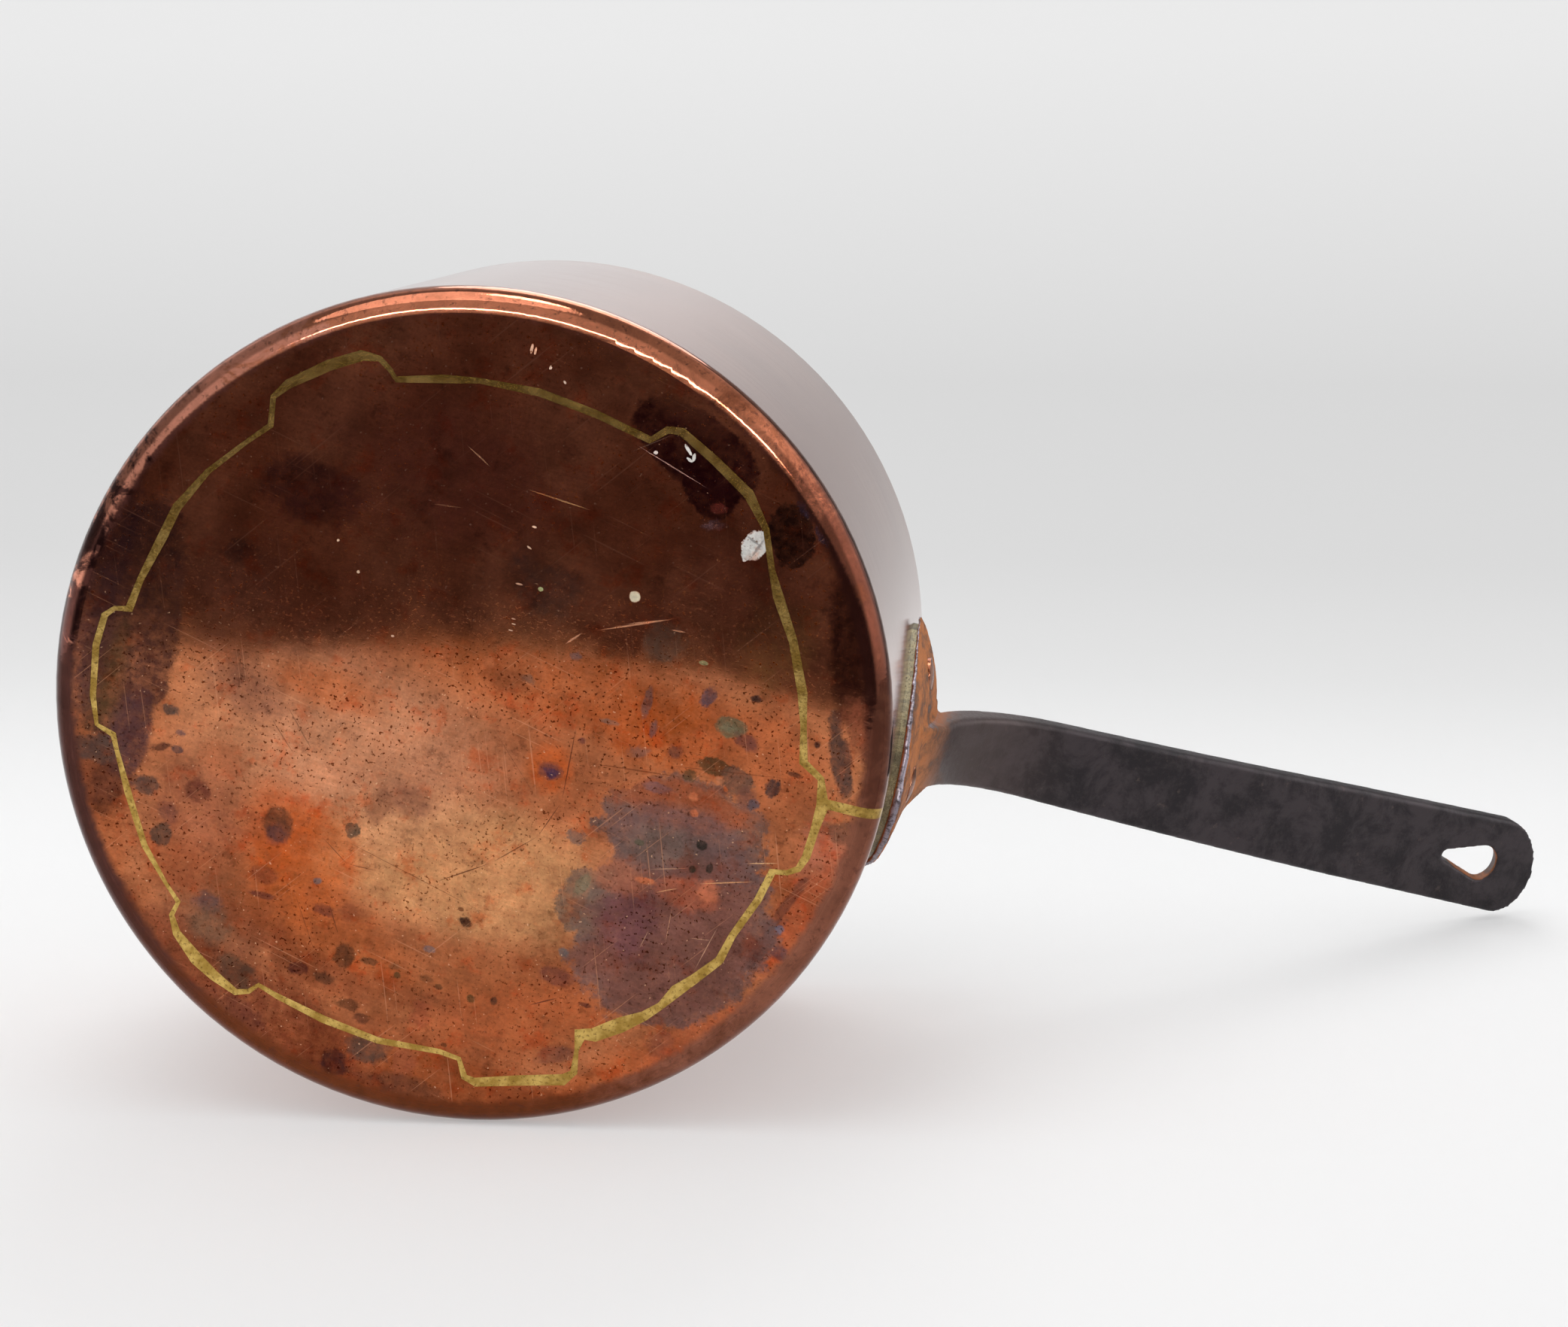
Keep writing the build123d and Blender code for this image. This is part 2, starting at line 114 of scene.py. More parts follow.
class Sheet:
    """One node tree, with short calls for the nodes of the finishes. Lengths are in mm."""

    def __init__(self, tree):
        self.tree = tree
        tree.nodes.clear()

    def put(self, socket, value):
        """Links a socket to another one, or sets it."""
        if isinstance(value, bpy.types.NodeSocket):
            self.tree.links.new(value, socket)
        elif isinstance(value, (int, float)) and hasattr(socket.default_value, "__len__"):
            socket.default_value = [value] * len(socket.default_value)
        else:
            socket.default_value = value

    def node(self, kind, inputs=(), **settings):
        """Adds a node, with its settings, and sets or links its inputs."""
        made = self.tree.nodes.new(kind)
        for name, value in settings.items():
            setattr(made, name, value)
        for key, value in dict(inputs).items():
            self.put(made.inputs[key], value)
        return made

    def number(self, operation, *values):
        inputs = dict(enumerate(values))
        return self.node("ShaderNodeMath", inputs, operation=operation).outputs[0]

    def times(self, first, second):
        return self.number("MULTIPLY", first, second)

    def times_plus(self, first, second, third):
        """The product of the first two, plus the third."""
        return self.number("MULTIPLY_ADD", first, second, third)

    def larger(self, first, second):
        return self.number("MAXIMUM", first, second)

    def vector(self, operation, *values, out="Vector"):
        made = self.node("ShaderNodeVectorMath", operation=operation)
        for index, value in enumerate(values):
            self.put(made.inputs["Scale" if operation == "SCALE" and index == 1 else index], value)
        return made.outputs[out]

    def dot(self, first, second):
        return self.vector("DOT_PRODUCT", first, second, out="Value")

    def level(self, vector):
        """The level part of a vector: its z is dropped."""
        return self.vector("MULTIPLY", vector, (1, 1, 0))

    def place(self):
        """Where a point of the piece is, in mm from the middle of the pan's base."""
        made = self.node("ShaderNodeTexCoord")
        return self.vector("MULTIPLY", made.outputs["Object"], (1000, 1000, 1000))

    def parts(self, vector):
        made = self.node("ShaderNodeSeparateXYZ", {0: vector})
        return made.outputs[0], made.outputs[1], made.outputs[2]

    def join(self, x, y, z):
        return self.node("ShaderNodeCombineXYZ", {0: x, 1: y, 2: z}).outputs[0]

    def noise(self, place, size, detail, rough, bend=0.0):
        """Clouds whose larger lumps are about size mm across."""
        made = self.node("ShaderNodeTexNoise", {"Vector": place, "Scale": 1 / size, "Detail": detail,
                                                "Roughness": rough, "Distortion": bend})
        return made.outputs["Fac"]

    def run(self, value, borders, **settings):
        names = ("From Min", "From Max", "To Min", "To Max")
        inputs = {"Value": value, **dict(zip(names, borders))}
        return self.node("ShaderNodeMapRange", inputs, **settings).outputs[0]

    def step(self, value, low, high, to_low=0.0, to_high=1.0):
        """A smooth step of a value from low to high."""
        borders = (low, high, to_low, to_high)
        return self.run(value, borders, interpolation_type="SMOOTHSTEP", clamp=False)

    def line(self, value, low, high, to_low=0.0, to_high=1.0):
        """A straight run of a value from low to high, held at its ends."""
        return self.run(value, (low, high, to_low, to_high), interpolation_type="LINEAR")

    def shades(self, value, low, high, greys):
        """A run of greys along a value."""
        made = self.node("ShaderNodeValToRGB", {0: self.line(value, low, high)})
        stops = made.color_ramp.elements
        for position, grey in greys:
            stops.new((position - low) / (high - low)).color = (grey, grey, grey, 1)
        stops.remove(stops[0])
        stops.remove(stops[len(stops) - 1])
        return made.outputs[0]

    def mix(self, share, low, high, how="MIX"):
        """One colour passing into another."""
        inputs = {0: share, 6: low, 7: high}
        return self.node("ShaderNodeMix", inputs, data_type="RGBA", blend_type=how).outputs[2]

    def blend(self, share, low, high):
        """One surface shader passing into another."""
        return self.node("ShaderNodeMixShader", {0: share, 1: low, 2: high}).outputs[0]

    def both(self, share, low, high):
        """One number passing into another."""
        return self.node("ShaderNodeMix", {0: share, 2: low, 3: high}, data_type="FLOAT").outputs[0]

    def bump(self, height, distance=1.0):
        """The normal of a surface that is raised by height times distance, in mm."""
        inputs = {"Strength": 1.0, "Distance": distance * MM, "Height": height}
        return self.node("ShaderNodeBump", inputs).outputs[0]


def oval_place(x, y, wide, high, turn):
    """Which turned frame an oval is drawn in, and the scale and shift that make it a unit circle."""
    steps = round(turn / FRAME_STEP)
    frame_number = steps % 4
    if (steps // 4) % 2:
        wide, high = high, wide
    angle = math.radians(frame_number * FRAME_STEP)
    across = x * math.cos(angle) + y * math.sin(angle)
    down = y * math.cos(angle) - x * math.sin(angle)
    return frame_number, (1 / wide, 1 / high, 0), (-across / wide, -down / high, 0)


def new_group(name, inputs, outputs):
    """An empty node group with these named sockets, and the sheet to fill it with."""
    tree = bpy.data.node_groups.new(name, "ShaderNodeTree")
    sheet = Sheet(tree)
    for way, sockets in (("INPUT", inputs), ("OUTPUT", outputs)):
        for socket, kind in sockets:
            tree.interface.new_socket(name=socket, in_out=way, socket_type="NodeSocket" + kind)
    given = sheet.node("NodeGroupInput").outputs
    return tree, sheet, given


def stain_group():
    """Lays one oval stain over a colour and a roughness."""
    inputs = [("Frame", "Vector"), ("Border", "Float"), ("Cover", "Float"), ("Colour", "Color"),
              ("Rough", "Float"), ("Scale", "Vector"), ("Shift", "Vector"), ("Ragged", "Float"),
              ("Outside", "Float"), ("Inside", "Float"), ("Share", "Float"), ("Tint", "Color"),
              ("Finish", "Float")]
    tree, s, given = new_group("stain", inputs, [("Colour", "Color"), ("Rough", "Float")])
    oval = s.vector("MULTIPLY_ADD", given["Frame"], given["Scale"], given["Shift"])
    reach = s.vector("LENGTH", oval, out="Value")
    reach = s.times_plus(given["Border"], given["Ragged"], reach)
    mask = s.step(reach, given["Outside"], given["Inside"], 0.0, given["Share"])
    mask = s.times(mask, given["Cover"])
    colour = s.mix(mask, given["Colour"], given["Tint"])
    s.node("NodeGroupOutput", {0: colour, 1: s.both(mask, given["Rough"], given["Finish"])})
    return tree


def scratch_group():
    """Lays one thin mark over a colour and a roughness: it wavers and thins out towards its ends."""
    inputs = [("Flat", "Vector"), ("Waver", "Float"), ("Colour", "Color"), ("Rough", "Float"),
              ("Middle", "Vector"), ("Turn", "Vector"), ("Size", "Vector"), ("Share", "Float"),
              ("Tint", "Color")]
    tree, s, given = new_group("scratch", inputs, [("Colour", "Color"), ("Rough", "Float")])
    line = s.node("ShaderNodeMapping", {0: given["Flat"], "Location": given["Middle"],
                                        "Rotation": given["Turn"], "Scale": given["Size"]},
                  vector_type="TEXTURE")
    along, across = s.parts(line.outputs[0])[:2]
    across = s.number("ABSOLUTE", s.times_plus(given["Waver"], 0.5, across))
    room = s.times_plus(s.times(along, along), -1, 1)
    mask = s.step(s.number("SUBTRACT", room, across), 0, 0.5, 0.0, given["Share"])
    colour = s.mix(mask, given["Colour"], given["Tint"])
    s.node("NodeGroupOutput", {0: colour, 1: s.both(mask, given["Rough"], 0.3)})
    return tree


def facing(s, way, degrees):
    """How far a level direction points to one side of the pan, 1 where it points straight there."""
    angle = math.radians(degrees)
    return s.dot(way, (math.cos(angle), math.sin(angle), 0))


def new_finish(name):
    made = bpy.data.materials.new(name)
    made.use_nodes = True
    return made, Sheet(made.node_tree)


def output(sheet, surface):
    sheet.node("ShaderNodeOutputMaterial", {"Surface": surface})


def gloss(sheet, colour, rough, normal, metal=1.0, **fixed):
    """The surface shader: fixed holds what is the same all over and is set on its own socket."""
    inputs = {"Base Color": colour, "Roughness": rough, "Metallic": metal, "Normal": normal}
    made = sheet.node("ShaderNodeBsdfPrincipled", inputs)
    for key, value in fixed.items():
        made.inputs[key.replace("_", " ").title().replace("Ior", "IOR")].default_value = value
    return made.outputs[0]


# ---- Copper ----------------------------------------------------------------------------------------
# Stains on the underside, the broad ones first: middle x, y and half sizes in mm, turn in degrees,
# colour; strength, roughness and the edge's softness in hundredths; raggedness in mm.
DUSK = (76, 46, 40)
OLIVE = (88, 68, 44)
SLATE = (106, 86, 80)
STAINS = [
    (8, 36, 36, 16, -6, (206, 148, 100), 85, 9, 50, 3),
    (-25, 14, 32, 20, 0, (200, 140, 106), 70, 9, 90, 4),
    (-56, 16, 11, 16, 0, (190, 124, 86), 60, 10, 80, 3),
    (30, -12, 44, 9, 0, (168, 84, 42), 75, 10, 80, 4),
    (47, -8, 15, 9, -10, (160, 74, 30), 80, 12, 80, 3),
    (70, -8, 15, 9, 10, (180, 98, 58), 80, 10, 80, 3),
    (-33, 2, 13, 5, -10, (178, 90, 44), 75, 10, 90, 2.5),
    (-30, 46, 13, 16, 24, (184, 94, 46), 80, 12, 50, 3.5),
    (-37, 37, 10, 10, 0, (188, 84, 34), 70, 12, 70, 3),
    (-58, 38, 14, 12, 20, (146, 84, 60), 75, 16, 80, 4),
    (-47, 63, 15, 13, 30, (132, 84, 60), 80, 16, 70, 3),
    (10, 62, 42, 8, -5, (158, 90, 54), 70, 12, 90, 3.5),
    (28, 69, 22, 9, -14, (178, 94, 54), 80, 11, 80, 3),
    (12, 90, 44, 9, 0, (146, 72, 36), 85, 12, 70, 3),
    (52, 82, 26, 8, -36, (176, 90, 48), 85, 11, 60, 2.5),
    (76, 62, 20, 9, -50, (172, 88, 54), 85, 12, 60, 2.5),
    (-26, 84, 24, 9, 20, (112, 54, 34), 90, 14, 60, 3),
    (-52, 76, 14, 7, 38, (124, 62, 40), 85, 14, 60, 3),
    (-79, 52, 8, 10, -20, (160, 84, 48), 80, 12, 70, 2.5),
    (-84, 36, 9, 10, -15, (104, 54, 36), 85, 14, 60, 2.5),
    (-81, 0, 11, 32, 5, DUSK, 93, 14, 16, 2.6),
    (-77, 24, 5, 10, 0, (84, 56, 56), 90, 16, 40, 2.5),
    (-86, 12, 5, 14, 6, (86, 64, 38), 70, 16, 70, 2),
    (-84, 30, 6, 3.6, 0, (88, 68, 60), 90, 20, 30, 1.4),
    (-52, 7, 9, 6, 20, (136, 86, 66), 75, 14, 80, 2.5),
    (-54, 25, 5, 4, 0, (168, 94, 60), 70, 12, 80, 1.5),
    (-9, 23, 6, 4, 0, (136, 84, 64), 75, 20, 70, 2),
    (-15, 27, 3, 4, 0, (126, 76, 54), 70, 20, 60, 1.6),
    (-47, -43, 11, 8, 0, (96, 50, 44), 80, 10, 50, 3),
    (-15, -55, 24, 16, 0, (140, 78, 60), 60, 10, 90, 5),
    (12, -34, 9, 6, 20, (90, 64, 54), 75, 14, 60, 3),
    (42, -29, 5, 5, 0, (98, 80, 66), 80, 16, 50, 2),
    (67, -36, 9, 10, 0, (136, 92, 50), 75, 14, 60, 3),
    (-60, -14, 12, 14, 0, (128, 76, 54), 70, 12, 80, 4),
    (-60, -25, 4, 3, 0, (76, 44, 36), 80, 14, 50, 1.8),
    (55, -45, 14, 16, 0, (126, 70, 48), 60, 12, 90, 5),
    (-90, -12, 5, 34, 4, (84, 52, 48), 90, 12, 60, 2.5),
    (-72, 66, 18, 5, 48, (116, 62, 40), 85, 14, 60, 2.5),
    (85.5, -34, 5, 20, -22, (74, 36, 28), 92, 8, 50, 2.5),
    (30, 93, 40, 5, -18, (134, 66, 36), 80, 12, 70, 2.5),
    (-22, 60, 26, 10, 12, (170, 84, 40), 60, 12, 80, 4),
    (-30, 66, 20, 4, 18, (120, 60, 36), 70, 14, 80, 3.5),
    (-6, 70, 26, 3, 4, (138, 76, 48), 60, 14, 90, 3),
    (-60, 52, 12, 6, 30, (150, 76, 44), 70, 14, 80, 3),
    (87.5, -13, 2.4, 9.5, -20, (78, 64, 60), 90, 24, 35, 1.6),
    (92, -21, 5, 7, -20, (178, 100, 70), 80, 20, 70, 2.5),
    (90, 10, 7, 8, 10, (182, 108, 84), 80, 20, 60, 3),
    (93, 4, 5, 2.6, 0, (120, 80, 62), 85, 24, 40, 1.5),
    (86, 28, 5, 17, 14, (176, 86, 52), 85, 14, 60, 2.5),
    (93, 30, 3, 17, 20, (150, 92, 76), 80, 20, 70, 2),
    (83.6, 25, 1.2, 9, 12, (104, 62, 50), 80, 20, 50, 1.2),
    (80.6, 36, 1.5, 9, 16, (82, 58, 54), 85, 20, 50, 1.4),
    # The purple patch beside the handle: its grey-green rim first, and what lies in it.
    (57, 14, 20, 13.5, 8, SLATE, 85, 20, 10, 2.6),
    (59, 38, 25, 22, -38, (106, 88, 86), 85, 18, 10, 2.8),
    (38, 36, 7, 9, 12, (118, 96, 84), 85, 22, 14, 2),
    (55, 7.5, 16, 5.5, 4, (156, 80, 46), 85, 12, 30, 2.2),
    (56, 16.5, 18, 8.5, 2, (114, 86, 82), 90, 16, 40, 2),
    (52, 19, 9, 5, 0, (110, 92, 82), 70, 16, 80, 2),
    (60, 40, 22, 18, -38, (116, 74, 64), 92, 15, 30, 3),
    (48, 38, 7, 9, 0, (106, 64, 72), 60, 16, 80, 3),
    (44, 28, 7, 4, 0, (168, 100, 72), 70, 14, 60, 2),
    (43, 49, 6, 4, 0, (128, 80, 66), 70, 16, 60, 2),
    (61.5, 28, 7.5, 3.6, -6, (168, 92, 66), 85, 14, 50, 1.6),
    (65.2, 26, 2.4, 2.6, 0, (202, 116, 82), 80, 12, 50, 0.8),
    (50.4, 27.4, 2.4, 0.8, 0, (212, 116, 72), 90, 12, 40, 0.4),
    (56.5, 4.8, 1, 1.1, 0, (206, 118, 78), 80, 12, 40, 0.4),
    (57.6, 8.6, 1.1, 0.8, 0, (206, 112, 70), 80, 12, 40, 0.4),
    (59.5, -3.4, 3.9, 1.9, -6, OLIVE, 90, 24, 20, 1.2),
    (66, -1.2, 4.2, 3.2, 24, (112, 84, 70), 90, 22, 20, 1.2),
    (68.5, 2, 2.6, 3, 0, (130, 84, 70), 80, 20, 30, 1),
    (54.6, 0.2, 1.6, 1.4, 0, OLIVE, 80, 24, 30, 0.6),
    (61.6, -0.6, 1, 0.9, 0, (190, 122, 86), 90, 14, 30, 0.4),
    (70.6, 3, 1.2, 1.5, 0, (88, 82, 90), 85, 24, 40, 0.6),
    (74, -2, 1.7, 2.2, 0, (52, 50, 52), 92, 28, 30, 0.9),
    (78.2, -6.4, 1.7, 0.6, -8, (74, 44, 34), 85, 24, 40, 0.3),
    (48, 5, 3.5, 1.2, -6, (118, 88, 90), 70, 20, 50, 0.9),
    (32, 21.4, 2.4, 1.7, 0, SLATE, 85, 22, 30, 1),
    (35.6, 16.6, 1.4, 1.2, 0, SLATE, 85, 22, 30, 0.7),
    (36.2, 32, 1.6, 3, 14, (126, 116, 92), 80, 24, 40, 0.8),
    (61.2, 15.6, 1.3, 1.2, 0, (44, 42, 36), 90, 30, 25, 0.3),
    (64.2, 20.6, 0.8, 1.1, 0, (40, 42, 36), 90, 30, 30, 0.3),
    (60.4, 21.8, 0.9, 0.8, 0, (44, 50, 40), 90, 30, 30, 0.3),
    (46.8, 18.8, 1.1, 0.7, 0, (84, 80, 62), 80, 24, 40, 0.3),
    (85.4, 36.2, 2.2, 1.7, 0, (66, 62, 72), 88, 24, 35, 0.8),
    (83.6, 30.6, 1, 1, 0, (100, 100, 116), 80, 24, 40, 0.5),
    (35.4, 49.4, 1.3, 1.1, 0, (108, 104, 104), 80, 24, 40, 0.5),
    (35, 55.6, 4.2, 1.9, -8, (104, 58, 52), 75, 20, 50, 1),
    # Spots on the clean part.
    (22.3, 7, 5.2, 5.6, 0, (186, 88, 40), 90, 12, 60, 1),
    (22.5, 7.6, 3, 1.9, 0, (104, 64, 62), 85, 18, 50, 0.9),
    (22.8, 7.9, 1.9, 1.1, 0, (56, 48, 78), 92, 24, 40, 0.6),
    (28.2, -1.4, 0.8, 0.8, 0, (104, 54, 56), 80, 20, 50, 0.4),
    (61, -13.6, 3.6, 2.2, 0, (114, 112, 84), 90, 22, 30, 0.9),
    (60.5, -13.2, 2, 1, 0, (136, 132, 104), 70, 22, 60, 0.6),
    (65.5, -11, 2.8, 1.8, 30, (100, 62, 62), 75, 20, 50, 0.9),
    (54.5, -19, 1.5, 2.6, 20, (96, 84, 96), 85, 24, 40, 1),
    (65.4, -21.4, 1.4, 0.9, 0, (60, 48, 46), 90, 22, 40, 0.5),
    (81.5, -14.6, 0.8, 0.8, 0, (56, 40, 40), 90, 22, 40, 0.3),
    (12.5, -12.5, 1.6, 0.9, 0, (120, 100, 86), 70, 20, 50, 0.7),
    (22, -20.6, 1.2, 0.9, 0, (110, 100, 104), 70, 20, 50, 0.6),
    (40.8, -14, 1, 3.4, -10, (118, 96, 92), 75, 20, 50, 0.9),
    (43.6, -8.6, 0.8, 2, -10, (104, 90, 92), 75, 20, 50, 0.6),
    (33, -7.4, 2.2, 0.6, 0, (124, 98, 84), 70, 20, 50, 0.5),
    (41.5, -2.2, 2.4, 1.2, -20, (128, 92, 80), 70, 20, 50, 0.9),
    (50, -4.6, 1.8, 1.6, 0, (92, 62, 56), 70, 20, 50, 0.8),
    (8, -10.6, 5, 3, 0, (126, 68, 42), 60, 16, 80, 1.6),
    (-20, 33.7, 1.9, 1.9, 0, (72, 64, 54), 93, 28, 16, 0.5),
    (-37.7, 37, 3.6, 4.3, -12, (92, 58, 42), 93, 24, 30, 0.8),
    (-37.5, 39.5, 2.6, 2.4, 0, (82, 54, 56), 70, 24, 60, 0.6),
    (11, 48.4, 1.6, 1.1, 0, (48, 34, 32), 93, 28, 30, 0.5),
    (9.3, 45.6, 0.7, 0.5, 0, (112, 60, 34), 80, 20, 40, 0.2),
    (4.2, 57.3, 1.3, 0.9, 0, (122, 110, 112), 85, 20, 40, 0.5),
    (-38.5, 50, 3.6, 2.2, 0, (122, 60, 40), 75, 20, 50, 1.2),
    (-38, 54.8, 3.2, 0.8, -6, (92, 48, 44), 80, 22, 50, 0.7),
    (-22.5, 54.6, 2.6, 1.4, 0, (104, 54, 44), 80, 22, 50, 0.8),
    (-25.6, 48, 1, 0.8, 0, (104, 96, 96), 80, 20, 40, 0.4),
    (-17, 53.5, 2.2, 2.4, 0, (140, 74, 50), 60, 20, 60, 1),
    (-58, 34, 3, 2.4, 0, (92, 44, 36), 80, 20, 50, 1.2),
    (-70, 35.6, 3.4, 2.6, 10, (84, 66, 60), 90, 24, 30, 1),
    (-65, 46.6, 2.8, 3, 0, (82, 64, 54), 90, 26, 25, 0.9),
    (-64, 41, 2.4, 2.2, 0, (98, 58, 54), 70, 20, 50, 0.9),
    (-68.6, 16.6, 2, 1.3, 0, (80, 74, 70), 85, 24, 40, 0.8),
    (-65, 21.4, 1.3, 0.7, 0, (84, 74, 84), 80, 24, 40, 0.5),
    (-69, 26, 2.2, 0.9, -20, (74, 42, 36), 80, 24, 50, 0.8),
    (-65, 25.6, 1.4, 0.8, 0, (70, 58, 62), 80, 24, 40, 0.5),
    (-50.5, 60, 3.2, 2.8, 0, (84, 72, 74), 75, 22, 60, 1.2),
    (-49, 65, 5, 4.5, 0, (106, 80, 62), 70, 20, 60, 1.6),
    (-40, 75, 5.5, 3.4, 14, (84, 62, 48), 85, 20, 40, 1.2),
    (-80, 39, 3.4, 6, 0, (82, 46, 34), 70, 18, 60, 1.6),
    (-15.2, 64, 2.6, 3, 0, (72, 46, 32), 88, 26, 35, 1),
    (-9.4, 63.8, 2, 0.9, 0, (76, 54, 36), 88, 26, 35, 0.5),
    (-2, 65.4, 0.9, 0.8, 0, (84, 64, 40), 85, 26, 35, 0.3),
    (-3, 63.4, 1.6, 0.7, 0, (118, 78, 52), 60, 20, 50, 0.5),
    (5, 64.4, 1.4, 0.8, 0, (108, 66, 42), 75, 20, 50, 0.6),
    (8.4, 65.6, 1, 0.7, 0, (86, 56, 36), 85, 26, 35, 0.3),
    (16.4, 66.3, 1, 1, 0, (66, 56, 32), 90, 26, 30, 0.3),
    (22, 65.4, 0.9, 1, 0, (72, 50, 38), 90, 26, 30, 0.3),
    (-25.4, 70.2, 2.6, 1.4, 0, (82, 38, 32), 88, 24, 35, 0.9),
    (-19, 70.8, 2.4, 1.3, 6, (92, 56, 38), 88, 24, 35, 0.8),
    (-12, 75.8, 3, 1.4, 10, (88, 52, 34), 85, 24, 40, 0.9),
    (-8, 78, 1.8, 1.2, 0, (78, 44, 34), 88, 24, 40, 0.6),
    (12.8, 79.2, 0.7, 0.5, 0, (76, 56, 36), 85, 24, 40, 0.2),
    (5.5, 73.5, 2.4, 3, 0, (146, 72, 50), 60, 16, 70, 1.4),
    (43.4, 60.6, 1.5, 0.5, 6, (78, 40, 36), 85, 24, 40, 0.3),
    (39, 74.5, 5, 2, -24, (124, 76, 62), 75, 18, 50, 1.2),
    (-5, 85, 5.4, 3.4, 0, (86, 66, 56), 88, 20, 40, 1.4),
    (-12, 91, 3.4, 3.6, 0, (52, 30, 30), 90, 18, 40, 1.2),
    (4, 86, 3, 3, 0, (150, 82, 56), 70, 16, 60, 1.4),
    (6, 92, 9, 3, 0, (92, 56, 42), 80, 18, 60, 1.4),
    (63, 65, 3, 3, 0, (128, 76, 62), 60, 20, 70, 1.6),
    (-38, 84, 8, 3, 24, (100, 54, 42), 80, 16, 60, 1.6),
    # The near-black burn at the upper seam, and the one beyond it.
    (38, -74.5, 16.5, 8.6, 28, (70, 26, 28), 95, 11, 10, 1.4),
    (43, -67, 8.5, 6, 40, (70, 26, 28), 95, 11, 12, 1.2),
    (64, -60.5, 5.6, 7.4, -30, (52, 30, 24), 95, 12, 12, 1.2),
    (46.4, -62.4, 1.7, 1.3, 0, (196, 96, 76), 90, 16, 40, 0.5),
    (46, -58.6, 2.6, 1.2, -20, (112, 92, 100), 70, 30, 50, 1.2),
    (66, -67.6, 2.8, 1.5, 40, (84, 80, 104), 85, 26, 40, 1),
    (71.4, -62.6, 3, 1.6, 36, (62, 62, 86), 90, 26, 35, 1),
    (22, -88, 20, 3.4, 16, (150, 92, 60), 70, 16, 70, 1.8),
    # Flecks of dried white paint, and bright nicks.
    (56.8, -56.4, 2.9, 3.9, 24, (226, 224, 218), 100, 80, 10, 0.9),
    (55.2, -53.6, 1.6, 1.2, 45, (214, 212, 206), 100, 80, 10, 0.7),
    (57.2, -55.6, 0.3, 2.4, 22.5, (150, 146, 142), 80, 80, 40, 0.5),
    (56, -57.2, 2, 0.25, 22.5, (150, 146, 142), 80, 80, 40, 0.5),
]
# Small flecks and nicks: middle x, y, half sizes, turn and colour. They lie over the stains.
FLECKS = [
    (32.3, -37.7, 1.25, 1.3, 0, (206, 196, 168)),
    (36.4, -73.9, 1.4, 0.36, 36, (230, 226, 218)),
    (38.1, -72.5, 0.4, 0.9, -10, (230, 226, 218)),
    (37.3, -71.7, 0.8, 0.34, 20, (230, 226, 218)),
    (10.6, -33.8, 0.5, 0.4, 0, (150, 160, 110)),
    (51.4, -26.6, 1.1, 0.5, 0, (130, 124, 80)),
    (39.9, -87.8, 1.1, 0.9, 0, (222, 196, 120)),
    (46.4, -84.6, 1.4, 0.7, 60, (214, 170, 100)),
    (5.9, -47.6, 0.5, 0.2, 0, (220, 180, 150)),
    (5.8, -42.6, 0.6, 0.2, 12, (220, 180, 150)),
    (5.4, -33.7, 0.7, 0.2, 0, (200, 150, 120)),
    (6, -25.4, 0.5, 0.15, 0, (220, 180, 150)),
    (6.2, -24.2, 0.5, 0.15, 0, (220, 180, 150)),
    (5.8, -22.6, 0.6, 0.15, 0, (220, 180, 150)),
    (1.2, -84.4, 0.3, 0.4, 0, (220, 190, 170)),
    (5.2, -81.9, 0.5, 0.3, 50, (220, 190, 170)),
    (-38.2, -33, 0.3, 0.3, 0, (220, 180, 150)),
    (-32, -27, 0.3, 0.3, 0, (220, 190, 160)),
    (-20.8, -14.2, 0.35, 0.25, 0, (220, 180, 150)),
    (-4, -87.6, 0.3, 1, -10, (226, 180, 150)),
    (-3, -87.2, 0.25, 0.8, -10, (226, 180, 150)),
    (29.3, -71.4, 0.4, 0.4, 0, (226, 210, 200)),
]
# What all the flecks share, as above: strength, roughness, softness and raggedness.
FLECK_FINISH = (100, 80, 20, 0.2)
